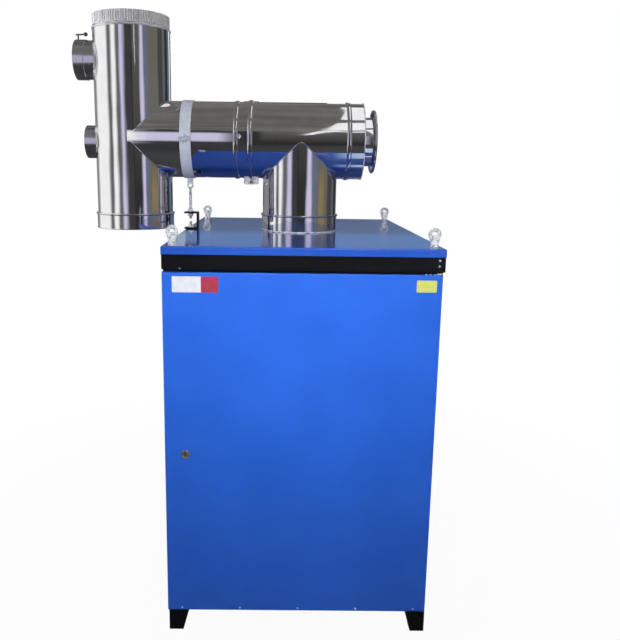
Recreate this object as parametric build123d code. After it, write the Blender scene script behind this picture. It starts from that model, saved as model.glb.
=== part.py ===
from build123d import *
import os

# Gas boiler in an outdoor sheet-metal cabinet, with a polished flue tee and a side stack.
# Millimetres. +Z is up, the door faces -Y, and the origin is on the floor, midway between the feet.

# Driving dimensions
lid_width = 776.0
lid_depth = 1050.0
lid_top = 1172.0
lid_skirt = 22.0
sheet = 2.0
foot_height = 66.0
door_depth = 18.0
pipe_radius = 125.0
pipe_wall = 2.0
pipe_rise = 299.0
stack_gap = 46.0
stack_height = 687.5
joint_reach = 40.0
tee_reach = 81.0

# Fits and working allowances
overrun = 5.0
saddle_step = 0.3
pin_clearance = 0.2
bolt_clearance = 0.5
door_top_gap = 7.5
door_bottom_gap = 15.0
door_back_gap = 8.5
door_tray_gap = 5.0
cam_gap = 6.0

# Cabinet frame
fascia_drop = 63.5
rail_leg = 34.0
door_stop = 25.0
post_leg = 40.0
tray_lip = 38.0
tray_front_lip = 10.0

# Feet
foot_sheet = 3.0
foot_top = 60.0
foot_base = 42.0
foot_setback = 25.0
anchor_radius = 5.5
anchor_inset = 21.0

# Door, hinges and lock
door_bend = 3.0
door_reveal = 5.0
door_lip = 15.0
hinge_inset_x = 9.0
hinge_inset_y = 7.0
hinge_pin_radius = 3.0
hinge_pin_depth = 15.0
hinge_shoulder_radius = 6.0
hinge_sheet = 2.0
hinge_width = 15.0
hinge_leaf = 31.0
hinge_leg = 20.0
hinge_plate_length = 50.0
hinge_plate_width = 11.0
hinge_plate_sheet = 3.0
lock_inset = 58.0
lock_rise = 495.0
lock_rim_radius = 13.5
lock_rim = 4.0
lock_body_radius = 9.0
lock_body_length = 24.0
lock_core_radius = 5.0
cam_width = 16.0
cam_reach = 36.0
cam_sheet = 3.0
key_width = 1.6
key_height = 6.0
key_depth = 3.0

# Flue
bead_radius = 3.5
socket_wall = 3.0
collar_height = 53.0
riser_tail = 45.0
branch_bead_inset = 46.0
tee_bead_inset = 51.5
clamp_width = 50.0
clamp_band = 2.0
clamp_ridge = 6.0
clamp_ridge_width = 16.0
clamp_ear_width = 50.0
clamp_ear_height = 22.0
clamp_ear_gap = 8.0
clamp_ear_sheet = 2.5
end_plate = 3.0
neck_radius = 81.0
neck_length = 35.0
flange_radius = 104.5
flange_sheet = 3.0
flange_rim = 4.5
top_collar_height = 46.5
top_collar_tail = 20.0
top_collar_step = 1.0
cap_height = 49.0
cap_rise = 4.0

# Spigots on the stack
upper_spigot_drop = 137.5
upper_spigot_radius = 62.0
upper_spigot_length = 55.0
sleeve_length = 35.0
sleeve_wall = 2.0
lower_spigot_drop = 11.5
lower_spigot_radius = 54.0
lower_spigot_length = 29.0
lever_inset = 5.5
lever_stem_radius = 2.5
lever_stem_height = 18.0
lever_length = 42.0
lever_overhang = 8.0
lever_knob_radius = 6.5
lever_turn = -15.0

# Pipe support on the lid
support_inset = 16.0
strap_width = 35.0
strap_sheet = 3.0
strap_ear = 30.0
strap_split = 2.0
lug_length = 24.0
lug_width = 18.0
lug_depth = 14.0
rod_radius = 5.0
rod_eye_radius = 10.5
rod_eye_hole = 5.5
rod_eye_depth = 9.0
rod_tail = 9.0
nut_radius = 9.8
nut_height = 10.0
bracket_open_arm = 20.0
bracket_back_arm = 27.0
bracket_height = 58.0
bracket_depth = 40.0
bracket_sheet = 5.0
bracket_bolt_radius = 4.0
bracket_bolt_top = 22.0
bracket_bolt_head = 7.5
bracket_bolt_head_height = 7.0

# Lifting eyes
eye_inset_x = 24.0
eye_inset_y = 55.0
eye_washer_radius = 12.0
eye_washer = 2.0
eye_nut_radius = 9.8
eye_nut_height = 8.0
eye_collar_radius = 10.0
eye_collar_height = 8.0
eye_ring_radius = 14.0
eye_ring_wire = 4.0
eye_weld = 1.0
eye_shank_radius = 5.0
eye_shank_length = 25.0
eye_turns = {"front_left": 30.0, "front_right": 0.0, "back_left": 0.0, "back_right": 0.0}

# Worked-out places
half_x = lid_width / 2 - sheet
half_y = lid_depth / 2 - sheet
inner_x = half_x - sheet
inner_y = half_y - sheet
lid_under = lid_top - sheet
rail_under = lid_under - sheet
tray_floor = foot_height + sheet
tray_setback = door_depth + door_tray_gap
post_setback = door_depth + door_back_gap
post_front = -half_y + post_setback
door_left = -half_x
door_right = half_x - door_reveal
door_bottom = foot_height + door_bottom_gap
door_top = lid_top - fascia_drop - door_top_gap
hinge_x = door_right - hinge_inset_x
hinge_y = -half_y + hinge_inset_y
lock_x = door_left + lock_inset
lock_z = door_bottom + lock_rise
lock_core_length = post_setback + sheet + cam_gap + cam_sheet
pipe_z = lid_top + pipe_rise
branch_radius = pipe_radius - saddle_step
pipe_bore = pipe_radius - pipe_wall
branch_bore = branch_radius - pipe_wall
joint_x = -pipe_radius - joint_reach
branch_bead_x = joint_x - branch_bead_inset
tee_end_x = pipe_radius + tee_reach
tee_bead_x = tee_end_x - tee_bead_inset
stack_x = -lid_width / 2 - stack_gap - pipe_radius
stack_top = lid_top + stack_height
stack_foot = lid_top + cap_rise
upper_spigot_rise = stack_height - upper_spigot_drop
upper_spigot_end = stack_x - pipe_radius - upper_spigot_length
lower_spigot_rise = pipe_rise - lower_spigot_drop
lower_spigot_end = stack_x - pipe_radius - lower_spigot_length
lever_x = upper_spigot_end + lever_inset
support_x = -lid_width / 2 + support_inset
strap_outer = pipe_radius + strap_sheet
bracket_left = support_x - bracket_open_arm
bracket_right = support_x + bracket_back_arm
rod_eye_rise = pipe_rise - strap_outer - lug_length
rod_end_rise = bracket_height - bracket_sheet - nut_height - rod_tail
eye_x = lid_width / 2 - eye_inset_x
eye_y = lid_depth / 2 - eye_inset_y
eye_ring_rise = eye_washer + eye_nut_height + eye_collar_height + eye_ring_radius + eye_ring_wire - eye_weld
corners = {"front_left": (-1, -1), "front_right": (1, -1), "back_left": (-1, 1), "back_right": (1, 1)}


def block(x, y, z):
    """A box between pairs of limits, given in either order."""
    low = [min(pair) for pair in (x, y, z)]
    size = [abs(pair[1] - pair[0]) for pair in (x, y, z)]
    return Pos(*low) * Box(*size, align=(Align.MIN, Align.MIN, Align.MIN))


def rod_z(radius, bottom, top, x=0.0, y=0.0):
    """An upright cylinder."""
    upright = Cylinder(radius, top - bottom, align=(Align.CENTER, Align.CENTER, Align.MIN))
    return Pos(x, y, bottom) * upright


def rod_x(radius, left, right, y=0.0, z=0.0):
    """A cylinder along X."""
    return Pos(left, y, z) * Rot(0, 90, 0) * rod_z(radius, 0, right - left)


def rod_y(radius, front, back, x=0.0, z=0.0):
    """A cylinder along Y."""
    return Pos(x, front, z) * Rot(-90, 0, 0) * rod_z(radius, 0, back - front)


def hexagon(radius, bottom, top, x=0.0, y=0.0):
    """An upright hexagon bar, such as a nut."""
    return Pos(x, y, bottom) * extrude(RegularPolygon(radius, 6), top - bottom)


def turned(points, beads=()):
    """A solid turned about Z: a closed outline of (radius, height) with half-round beads on its outside."""
    outline = Polyline(*[(radius, 0, height) for radius, height in points], close=True)
    body = revolve(make_face(outline), Axis.Z)
    for radius, height in beads:
        arc = ThreePointArc(
            (radius, 0, height - bead_radius), (radius + bead_radius, 0, height), (radius, 0, height + bead_radius)
        )
        chord = Line(arc @ 1, arc @ 0)
        body += revolve(make_face([arc, chord]), Axis.Z)
    return body


def along_x(body, x, z):
    """Lay a solid turned about Z along X, with its foot at x and its axis at height z."""
    return Pos(x, 0, z) * Rot(0, 90, 0) * body


def ring(inner, outer, bottom, top):
    """The closed outline of a plain ring."""
    return [(inner, bottom), (outer, bottom), (outer, top), (inner, top)]


def lid():
    """Folded pan with holes for the flue, the lifting eyes and the support bracket's bolt."""
    pan = block((-half_x - sheet, half_x + sheet), (-half_y - sheet, half_y + sheet), (lid_top - lid_skirt, lid_top))
    front_edges = pan.edges().group_by(Axis.Z)[-1] + pan.edges().filter_by(Axis.Z)
    pan = fillet(front_edges, sheet)
    pan -= block((-half_x, half_x), (-half_y, half_y), (lid_top - lid_skirt - overrun, lid_under))
    pan -= rod_z(branch_radius, lid_under - overrun, lid_top + overrun)
    for side, end in corners.values():
        pan -= rod_z(eye_shank_radius, lid_under - overrun, lid_top + overrun, side * eye_x, end * eye_y)
    return pan - rod_z(bracket_bolt_radius, lid_under - overrun, lid_top + overrun, support_x)


def front_rail():
    """Black fascia under the lid, folded back to a stop behind the door's top edge, with a leg for the lid."""
    fold = lid_top - fascia_drop
    stop_half = inner_x - post_leg
    rail = block((-half_x, half_x), (-half_y, -inner_y), (fold, lid_under))
    rail += block((-inner_x, inner_x), (-inner_y, -inner_y + rail_leg), (rail_under, lid_under))
    rail += block((-inner_x, inner_x), (-inner_y, post_front), (fold, fold + sheet))
    stop_bottom = door_top - door_stop
    return rail + block((-stop_half, stop_half), (post_front, post_front + sheet), (stop_bottom, fold + sheet))


def back_rail():
    """Top rail at the back, down to the back panel."""
    face = block((-half_x, half_x), (inner_y, half_y), (door_top, lid_under))
    return face + block((-inner_x, inner_x), (inner_y - rail_leg, inner_y), (rail_under, lid_under))


def side_rail(side):
    """Top rail at a side, drilled for what is bolted through the lid and cut away over the door's end."""
    rail = block((side * inner_x, side * half_x), (-inner_y, inner_y), (door_top, lid_under))
    leg_ends = (-inner_y + rail_leg, inner_y - rail_leg)
    rail += block((side * (inner_x - rail_leg), side * inner_x), leg_ends, (rail_under, lid_under))
    for end in (-1, 1):
        rail -= rod_z(eye_shank_radius, rail_under - overrun, lid_top, side * eye_x, end * eye_y)
    if side < 0:
        rail -= rod_z(bracket_bolt_radius, rail_under - overrun, lid_top, support_x)
    over_door = (-inner_y - overrun, post_front)
    return rail - block((side * inner_x, side * half_x), over_door, (door_top - overrun, lid_top - fascia_drop))


def corner_post(side, end):
    """Angle post from the tray to the top rails."""
    face = post_front if end < 0 else inner_y
    into = face - end * post_leg
    upright = (tray_floor, rail_under)
    side_leg = block((side * (inner_x - sheet), side * inner_x), (face, into), upright)
    return side_leg + block((side * (inner_x - post_leg), side * inner_x), (face, face - end * sheet), upright)


def base_tray():
    """Folded floor with upstands at the sides and back and a low lip under the door."""
    front = -half_y + tray_setback
    lip_x = inner_x - sheet
    lip_back = inner_y - sheet
    tray = block((-inner_x, inner_x), (front, inner_y), (foot_height, tray_floor))
    tray += block((-inner_x, inner_x), (front, front + sheet), (tray_floor, foot_height + tray_front_lip))
    upstand = (tray_floor, foot_height + tray_lip)
    for side in (-1, 1):
        tray += block((side * (lip_x - sheet), side * lip_x), (post_front + sheet, lip_back), upstand)
    return tray + block((-lip_x, lip_x), (lip_back - sheet, lip_back), upstand)


def foot(side, end):
    """Folded corner foot: two tapered walls, a base plate with an anchor hole and a top flange."""
    outline = [(0, 0), (foot_base, 0), (foot_top, foot_height), (0, foot_height)]
    wall = extrude(Plane.XZ * make_face(Polyline(*outline, close=True)), -foot_sheet)
    body = wall + Rot(0, 0, 90) * mirror(wall, about=Plane.XZ)
    body += block((0, foot_base), (0, foot_base), (0, foot_sheet))
    body += block((0, foot_top), (0, foot_top), (foot_height - foot_sheet, foot_height))
    body -= rod_z(anchor_radius, -overrun, foot_sheet + overrun, anchor_inset, anchor_inset)
    if side > 0:
        body = mirror(body, about=Plane.YZ)
    if end > 0:
        body = mirror(body, about=Plane.XZ)
    return Pos(side * half_x, end * (half_y + sheet - foot_setback), 0) * body


def side_panel(side):
    """Plain side sheet, from the front post's face to the back."""
    return block((side * inner_x, side * half_x), (post_front, half_y), (door_bottom, door_top))


def back_panel():
    """Plain back sheet between the side panels."""
    return block((-inner_x, inner_x), (inner_y, half_y), (door_bottom, door_top))


def lifting_eye(side, end, turn):
    """Eye bolt with a washer, a nut and a shank through the lid."""
    nut_top = eye_washer + eye_nut_height
    eye = rod_z(eye_shank_radius, -eye_shank_length, eye_washer)
    eye += rod_z(eye_washer_radius, 0, eye_washer)
    eye += hexagon(eye_nut_radius, eye_washer, nut_top)
    eye += rod_z(eye_collar_radius, nut_top, nut_top + eye_collar_height)
    eye += Pos(0, 0, eye_ring_rise) * Rot(90, 0, turn) * Torus(eye_ring_radius, eye_ring_wire)
    return Pos(side * eye_x, end * eye_y, lid_top) * eye


def upper_hinge_bracket():
    """Angle on the fascia, folded under it, with a pin that hangs into the door's top edge."""
    fold = lid_top - fascia_drop
    across = (hinge_x - hinge_width / 2, hinge_x + hinge_width / 2)
    bracket = block(across, (-half_y - hinge_sheet, -half_y), (fold - hinge_sheet, fold + hinge_leaf))
    bracket += block(across, (-half_y - hinge_sheet, -half_y + hinge_leg), (fold - hinge_sheet, fold))
    return bracket + rod_z(hinge_pin_radius, door_top - hinge_pin_depth, fold - hinge_sheet, hinge_x, hinge_y)


def lower_hinge_bracket():
    """Angle on the tray's front lip, with a shouldered pin that carries the door."""
    front = -half_y + tray_setback
    across = (hinge_x - hinge_width / 2, hinge_x + hinge_width / 2)
    top = foot_height + hinge_sheet
    bracket = block(across, (front - hinge_sheet, front), (foot_height, foot_height + tray_front_lip))
    bracket += block(across, (-half_y, front), (foot_height, top))
    shoulder = door_bottom - pin_clearance
    bracket += rod_z(hinge_shoulder_radius, top, shoulder, hinge_x, hinge_y)
    return bracket + rod_z(hinge_pin_radius, shoulder, door_bottom + hinge_pin_depth, hinge_x, hinge_y)


def door_panel():
    """Folded door that covers the frame: a skin with returns and inward lips, drilled for the pins and the lock."""
    front = -half_y
    back = front + door_depth
    pan = block((door_left, door_right), (front, back), (door_bottom, door_top))
    pan = fillet(pan.edges().group_by(Axis.Y)[0], door_bend)
    left = door_left + sheet
    right = door_right - sheet
    low = door_bottom + sheet
    high = door_top - sheet
    hollow = block((left, right), (front + sheet, back - sheet), (low, high))
    pan -= fillet(hollow.edges().group_by(Axis.Y)[0], door_bend - sheet)
    window = (left + door_lip, right - door_lip)
    pan -= block(window, (back - sheet - overrun, back + overrun), (low + door_lip, high - door_lip))
    pan -= rod_z(hinge_pin_radius + pin_clearance, low - overrun, low + overrun, hinge_x, hinge_y)
    pan -= rod_z(hinge_pin_radius + pin_clearance, high - overrun, high + overrun, hinge_x, hinge_y)
    return pan - rod_y(lock_body_radius, front - overrun, front + overrun, lock_x, lock_z)


def door_hinge_plate(level, up):
    """Bearing plate inside the door against its top or bottom return."""
    right = door_right - sheet - door_bend
    front = -half_y + sheet + door_bend - sheet
    plate = block(
        (right - hinge_plate_length, right), (front, front + hinge_plate_width), (level, level + up * hinge_plate_sheet)
    )
    middle = level + up * hinge_plate_sheet / 2
    return plate - rod_z(hinge_pin_radius + pin_clearance, middle - overrun, middle + overrun, hinge_x, hinge_y)


def lock_housing():
    """Round rim and body of the cam lock, bored for its core."""
    face = -half_y
    housing = rod_y(lock_rim_radius, face - lock_rim, face, lock_x, lock_z)
    housing = fillet(housing.edges().group_by(Axis.Y)[0], lock_rim / 2)
    housing += rod_y(lock_body_radius, face, face + lock_body_length, lock_x, lock_z)
    bore = lock_core_radius + pin_clearance
    return housing - rod_y(bore, face - lock_rim - overrun, face + lock_body_length + overrun, lock_x, lock_z)


def lock_core():
    """Key barrel with a cam that reaches behind the left post when it is turned."""
    face = -half_y - lock_rim
    back = -half_y + lock_core_length
    core = rod_y(lock_core_radius, face, back, lock_x, lock_z)
    half_key = key_width / 2
    core -= block(
        (lock_x - half_key, lock_x + half_key), (face - overrun, face + key_depth),
        (lock_z - key_height / 2, lock_z + key_height / 2),
    )
    half_cam = cam_width / 2
    cam = block((lock_x - half_cam, lock_x + half_cam), (back - cam_sheet, back), (lock_z, lock_z + cam_reach))
    cam += rod_y(half_cam, back - cam_sheet, back, lock_x, lock_z)
    return core + cam


def flue_collar():
    """Socket on the lid that the riser stands in."""
    outline = ring(branch_radius, branch_radius + socket_wall, 0, collar_height + bead_radius)
    return Pos(0, 0, lid_top) * turned(outline, [(branch_radius + socket_wall, collar_height)])


def riser():
    """Upright leg of the flue tee, shaped at its top to sit on the barrel."""
    leg = rod_z(branch_radius, lid_under - riser_tail, pipe_z) - rod_z(branch_bore, lid_under - riser_tail, pipe_z)
    return leg - rod_x(pipe_radius, -pipe_radius - overrun, pipe_radius + overrun, 0, pipe_z)


def tee_barrel():
    """Horizontal leg of the flue tee, open over the riser."""
    outline = ring(pipe_bore, pipe_radius, 0, tee_end_x - joint_x)
    barrel = along_x(turned(outline, [(pipe_radius, tee_bead_x - joint_x)]), joint_x, pipe_z)
    return barrel - rod_z(branch_bore, pipe_z - pipe_radius - overrun, pipe_z)


def end_cover():
    """End plate of the tee with a short neck."""
    bore = neck_radius - pipe_wall
    outline = [
        (bore, -end_plate), (pipe_bore, -end_plate), (pipe_bore, 0), (neck_radius, 0), (neck_radius, neck_length),
        (bore, neck_length),
    ]
    return along_x(turned(outline), tee_end_x, pipe_z)


def end_flange():
    """Blank disc on the neck, with a rolled rim."""
    rim = flange_radius - flange_rim
    disc = rod_z(rim, 0, flange_sheet)
    disc += Pos(0, 0, flange_sheet / 2) * Torus(rim, flange_rim)
    return along_x(disc, tee_end_x + neck_length, pipe_z)


def joint_clamp():
    """Ridged band round the pipe joint, split underneath between two ears."""
    half = clamp_width / 2
    ridge = clamp_ridge_width / 2
    band = pipe_radius + clamp_band
    outline = [
        (pipe_radius, -half), (band, -half), (band, -ridge), (band + clamp_ridge - clamp_band, 0), (band, ridge),
        (band, half), (pipe_radius, half),
    ]
    clamp = along_x(turned(outline), joint_x, pipe_z)
    foot_z = pipe_z - pipe_radius
    half_gap = clamp_ear_gap / 2
    clamp -= block(
        (joint_x - half - overrun, joint_x + half + overrun), (-half_gap, half_gap),
        (foot_z - clamp_ridge - overrun, foot_z + overrun),
    )
    across = (joint_x - clamp_ear_width / 2, joint_x + clamp_ear_width / 2)
    for side in (-1, 1):
        ear = block(across, (side * half_gap, side * (half_gap + clamp_ear_sheet)), (foot_z - clamp_ear_height, pipe_z))
        clamp += ear - rod_x(pipe_radius, joint_x - clamp_width, joint_x + clamp_width, 0, pipe_z)
    return clamp


def stack_branch():
    """Side leg of the stack, shaped to sit on its barrel."""
    outline = ring(branch_bore, branch_radius, 0, joint_x - stack_x)
    leg = along_x(turned(outline, [(branch_radius, branch_bead_x - stack_x)]), stack_x, pipe_z)
    return leg - rod_z(pipe_radius, pipe_z - pipe_radius - overrun, pipe_z + pipe_radius + overrun, stack_x)


def stack_barrel():
    """Upright pipe of the stack, open at its branch and its two spigots."""
    bottom = stack_foot + sheet
    top = stack_top - top_collar_height
    barrel = rod_z(pipe_radius, bottom, top, stack_x) - rod_z(pipe_bore, bottom, top, stack_x)
    barrel -= rod_x(branch_bore, stack_x, stack_x + pipe_radius + overrun, 0, pipe_z)
    for radius, rise in ((upper_spigot_radius, upper_spigot_rise), (lower_spigot_radius, lower_spigot_rise)):
        left = stack_x - pipe_radius - overrun
        barrel -= rod_x(radius - pipe_wall, left, stack_x, 0, lid_top + rise)
    return barrel


def stack_top_collar():
    """Reduced end for the next length of flue, seated in the barrel on a bead."""
    outer = pipe_radius - top_collar_step
    inner = pipe_bore - pipe_wall
    outline = [
        (inner, -top_collar_tail), (pipe_bore, -top_collar_tail), (pipe_bore, 0), (outer, 0),
        (outer, top_collar_height), (inner, top_collar_height),
    ]
    return Pos(stack_x, 0, stack_top - top_collar_height) * turned(outline, [(outer, bead_radius)])


def stack_bottom_cap():
    """Closed cap over the foot of the stack."""
    skirt = pipe_radius + socket_wall
    outline = [
        (0, 0), (skirt, 0), (skirt, cap_height + bead_radius), (pipe_radius, cap_height + bead_radius),
        (pipe_radius, sheet), (0, sheet),
    ]
    return Pos(stack_x, 0, stack_foot) * turned(outline, [(skirt, cap_height)])


def spigot(radius, end_x, rise):
    """Short side pipe, shaped to sit on the stack's barrel."""
    axis_z = lid_top + rise
    pipe = rod_x(radius, end_x, stack_x, 0, axis_z) - rod_x(radius - pipe_wall, end_x, stack_x, 0, axis_z)
    return pipe - rod_z(pipe_radius, axis_z - radius - overrun, axis_z + radius + overrun, stack_x)


def spigot_sleeve():
    """Sleeve on the upper spigot, drilled on top for its locking lever."""
    outline = ring(upper_spigot_radius, upper_spigot_radius + sleeve_wall, 0, sleeve_length)
    axis_z = lid_top + upper_spigot_rise
    sleeve = along_x(turned(outline), upper_spigot_end, axis_z)
    top = axis_z + upper_spigot_radius
    return sleeve - rod_z(lever_stem_radius, top - overrun, top + overrun, lever_x)


def locking_lever():
    """Screw with a cross handle and a ball end, bearing on the spigot through the sleeve."""
    bottom = lid_top + upper_spigot_rise + upper_spigot_radius
    top = bottom + lever_stem_height
    stem = rod_z(lever_stem_radius, bottom, top, lever_x)
    stem -= rod_x(upper_spigot_radius, upper_spigot_end, stack_x, 0, lid_top + upper_spigot_rise)
    handle = rod_x(lever_stem_radius, -lever_overhang, lever_length - lever_overhang - lever_knob_radius)
    handle += Pos(lever_length - lever_overhang - lever_knob_radius, 0, 0) * Sphere(lever_knob_radius)
    return stem + Pos(lever_x, 0, top) * Rot(0, 0, lever_turn) * handle


def strap_half(up):
    """Half of the pipe strap, with bolt ears in front and behind."""
    across = (support_x - strap_width / 2, support_x + strap_width / 2)
    split = pipe_z + up * strap_split / 2
    band = rod_x(strap_outer, *across, 0, pipe_z)
    for end in (-1, 1):
        band += block(across, (0, end * (pipe_radius + strap_ear)), (split, split + up * strap_sheet))
    far = pipe_z - up * (strap_outer + overrun)
    band -= block((across[0] - overrun, across[1] + overrun), (-strap_outer, strap_outer), (split, far))
    for end in (-1, 1):
        ear_y = end * (strap_outer + (strap_ear - strap_sheet) / 2)
        band -= rod_z(bracket_bolt_radius, split - overrun, split + overrun, support_x, ear_y)
    if up < 0:
        lug_bottom = lid_top + rod_eye_rise
        half_lug = lug_width / 2
        lug = (support_x - half_lug, support_x + half_lug)
        band += block(lug, (-lug_depth / 2, lug_depth / 2), (lug_bottom, pipe_z - pipe_radius))
        band -= rod_y(rod_eye_radius, -lug_depth, lug_depth, support_x, lug_bottom)
    return band - rod_x(pipe_radius, across[0] - overrun, across[1] + overrun, 0, pipe_z)


def support_rod():
    """Threaded rod with a forged eye that seats in the strap's lug."""
    eye_z = lid_top + rod_eye_rise
    half_eye = rod_eye_depth / 2
    rod = rod_z(rod_radius, lid_top + rod_end_rise, eye_z, support_x)
    rod += rod_y(rod_eye_radius, -half_eye, half_eye, support_x, eye_z)
    return rod - rod_y(rod_eye_hole, -rod_eye_radius, rod_eye_radius, support_x, eye_z)


def rod_nuts():
    """Nuts above and below the bracket's upper arm."""
    arm_top = lid_top + bracket_height
    arm_under = arm_top - bracket_sheet
    upper = hexagon(nut_radius, arm_top, arm_top + nut_height, support_x)
    lower = hexagon(nut_radius, arm_under - nut_height, arm_under, support_x)
    hole = rod_z(rod_radius, arm_under - nut_height - overrun, arm_top + nut_height + overrun, support_x)
    return Compound([upper - hole, lower - hole])


def support_bracket():
    """Folded bracket, open to the left, between the lid and the rod."""
    half_depth = bracket_depth / 2
    top = lid_top + bracket_height
    across = (bracket_left, bracket_right)
    body = block(across, (-half_depth, half_depth), (lid_top, top))
    upright = body.edges().filter_by(Axis.Y).group_by(Axis.X)[-1]
    body = fillet(upright, bracket_sheet)
    body -= block(
        (bracket_left - overrun, bracket_right - bracket_sheet), (-bracket_depth, bracket_depth),
        (lid_top + bracket_sheet, top - bracket_sheet),
    )
    body -= rod_z(rod_radius + bolt_clearance, top - bracket_sheet - overrun, top + overrun, support_x)
    return body - rod_z(bracket_bolt_radius, lid_top - overrun, lid_top + bracket_sheet + overrun, support_x)


def bracket_bolt():
    """Bolt up through the rail and the lid, with the bracket's nut."""
    floor = lid_top + bracket_sheet
    bolt = rod_z(bracket_bolt_radius, rail_under, lid_top + bracket_bolt_top, support_x)
    bolt += hexagon(bracket_bolt_head, rail_under - bracket_bolt_head_height, rail_under, support_x)
    return bolt + hexagon(bracket_bolt_head, floor, floor + bracket_bolt_head_height, support_x)


def pieces():
    """Every sub-part by its name."""
    made = {
        "lid": lid(),
        "front_top_rail": front_rail(),
        "back_top_rail": back_rail(),
        "base_tray": base_tray(),
        "back_panel": back_panel(),
        "upper_hinge_bracket": upper_hinge_bracket(),
        "lower_hinge_bracket": lower_hinge_bracket(),
        "door_panel": door_panel(),
        "upper_hinge_plate": door_hinge_plate(door_top - sheet, -1),
        "lower_hinge_plate": door_hinge_plate(door_bottom + sheet, 1),
        "lock_housing": lock_housing(),
        "lock_core": lock_core(),
        "flue_collar": flue_collar(),
        "flue_riser": riser(),
        "tee_barrel": tee_barrel(),
        "end_cover": end_cover(),
        "end_flange": end_flange(),
        "joint_clamp": joint_clamp(),
        "stack_branch": stack_branch(),
        "stack_barrel": stack_barrel(),
        "stack_top_collar": stack_top_collar(),
        "stack_bottom_cap": stack_bottom_cap(),
        "upper_spigot": spigot(upper_spigot_radius, upper_spigot_end, upper_spigot_rise),
        "lower_spigot": spigot(lower_spigot_radius, lower_spigot_end, lower_spigot_rise),
        "spigot_sleeve": spigot_sleeve(),
        "locking_lever": locking_lever(),
        "strap_upper_half": strap_half(1),
        "strap_lower_half": strap_half(-1),
        "support_rod": support_rod(),
        "rod_nuts": rod_nuts(),
        "support_bracket": support_bracket(),
        "bracket_bolt": bracket_bolt(),
    }
    for name, side in (("left", -1), ("right", 1)):
        made[name + "_top_rail"] = side_rail(side)
        made[name + "_side_panel"] = side_panel(side)
    for name, (side, end) in corners.items():
        made[name + "_post"] = corner_post(side, end)
        made[name + "_foot"] = foot(side, end)
        made[name + "_lifting_eye"] = lifting_eye(side, end, eye_turns[name])
    return made


os.makedirs("parts", exist_ok=True)
for node, shape in pieces().items():
    export_step(shape, f"parts/{node}.step")
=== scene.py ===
# %% [markdown]
# A gas boiler in a sheet-metal cabinet: a blue box on four black feet, with a polished steel flue on
# its lid that turns left into an upright stack. The CAD model gives every piece its place and size.
# This lesson dresses it in Blender: camera, studio, finishes, smooth polished pipes and small fittings.

# %% Load the CAD frame
import math

import bmesh
import bpy
from mathutils import Matrix, Vector


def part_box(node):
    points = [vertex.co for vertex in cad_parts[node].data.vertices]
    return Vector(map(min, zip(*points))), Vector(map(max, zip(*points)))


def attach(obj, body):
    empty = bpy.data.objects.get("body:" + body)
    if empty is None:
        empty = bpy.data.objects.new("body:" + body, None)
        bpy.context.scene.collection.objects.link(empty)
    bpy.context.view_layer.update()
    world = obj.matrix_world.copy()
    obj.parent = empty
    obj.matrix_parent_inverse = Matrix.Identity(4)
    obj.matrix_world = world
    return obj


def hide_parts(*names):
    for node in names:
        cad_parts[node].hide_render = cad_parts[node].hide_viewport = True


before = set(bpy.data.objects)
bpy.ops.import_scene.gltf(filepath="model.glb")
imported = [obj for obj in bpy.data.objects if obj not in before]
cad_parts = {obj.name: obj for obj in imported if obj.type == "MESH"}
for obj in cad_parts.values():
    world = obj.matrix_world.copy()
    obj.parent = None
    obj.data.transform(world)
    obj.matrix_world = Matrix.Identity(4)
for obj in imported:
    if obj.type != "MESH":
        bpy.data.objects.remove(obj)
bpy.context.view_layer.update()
MM = 0.001

# %% [markdown]
# The camera stood in front of the door, a little above the lid, and looked slightly down. Its place,
# angles and focal length were worked out from the edges of the lid and the pipes. A shift of the lens
# keeps the frame where the picture has it, which turning the camera would not do without tilting the sides.

# %% Camera
IMAGE_WIDTH, IMAGE_HEIGHT = 620, 640
FOCAL_PIXELS = 683.6
AXIS_PIXEL = (283.88, 292.76)
CAMERA_PLACE = Vector((-65.1, -2358.1, 1389.6)) * MM
PITCH, YAW, ROLL = (math.radians(angle) for angle in (10.55, 0.394, 0.748))

ahead = Vector((math.sin(YAW) * math.cos(PITCH), math.cos(YAW) * math.cos(PITCH), -math.sin(PITCH)))
level = Vector((math.cos(YAW), -math.sin(YAW), 0.0))
upward = level.cross(ahead)
right = math.cos(ROLL) * level + math.sin(ROLL) * upward
top = math.cos(ROLL) * upward - math.sin(ROLL) * level

lens = bpy.data.cameras.new("camera")
lens.sensor_width = 36.0
lens.lens = FOCAL_PIXELS * lens.sensor_width / IMAGE_HEIGHT
lens.shift_x = (IMAGE_WIDTH / 2 - AXIS_PIXEL[0]) / IMAGE_HEIGHT
lens.shift_y = (AXIS_PIXEL[1] - IMAGE_HEIGHT / 2) / IMAGE_HEIGHT
camera = bpy.data.objects.new("camera", lens)
camera.matrix_world = Matrix.Translation(CAMERA_PLACE) @ Matrix((right, top, -ahead)).transposed().to_4x4()
scene = bpy.context.scene
scene.collection.objects.link(camera)
scene.camera = camera
scene.view_settings.view_transform = "Standard"
print("lens", round(lens.lens, 2), "mm")

# %% [markdown]
# A few small helpers serve every finish. Colours are written as the hex values that a picture editor shows,
# and Blender works in linear light, so one function converts them. Another adds a shader node, and either sets
# or links each input. The rest give a place on the object, a ramp of colours, a stretched value and a cloudy
# pattern.

# %% Helpers for colours and nodes
def colour(code):
    """Linear RGBA of an sRGB hex colour."""
    channels = [int(code[place:place + 2], 16) / 255 for place in (1, 3, 5)]
    return (*[c / 12.92 if c <= 0.04045 else ((c + 0.055) / 1.055) ** 2.4 for c in channels], 1.0)


def add_node(tree, kind, inputs=None, **settings):
    """Add a node with its settings, and set or link its inputs."""
    node = tree.nodes.new(kind)
    for name, value in settings.items():
        setattr(node, name, value)
    for key, value in (inputs or {}).items():
        if isinstance(value, bpy.types.NodeSocket):
            tree.links.new(value, node.inputs[key])
        else:
            node.inputs[key].default_value = value
    return node


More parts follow.
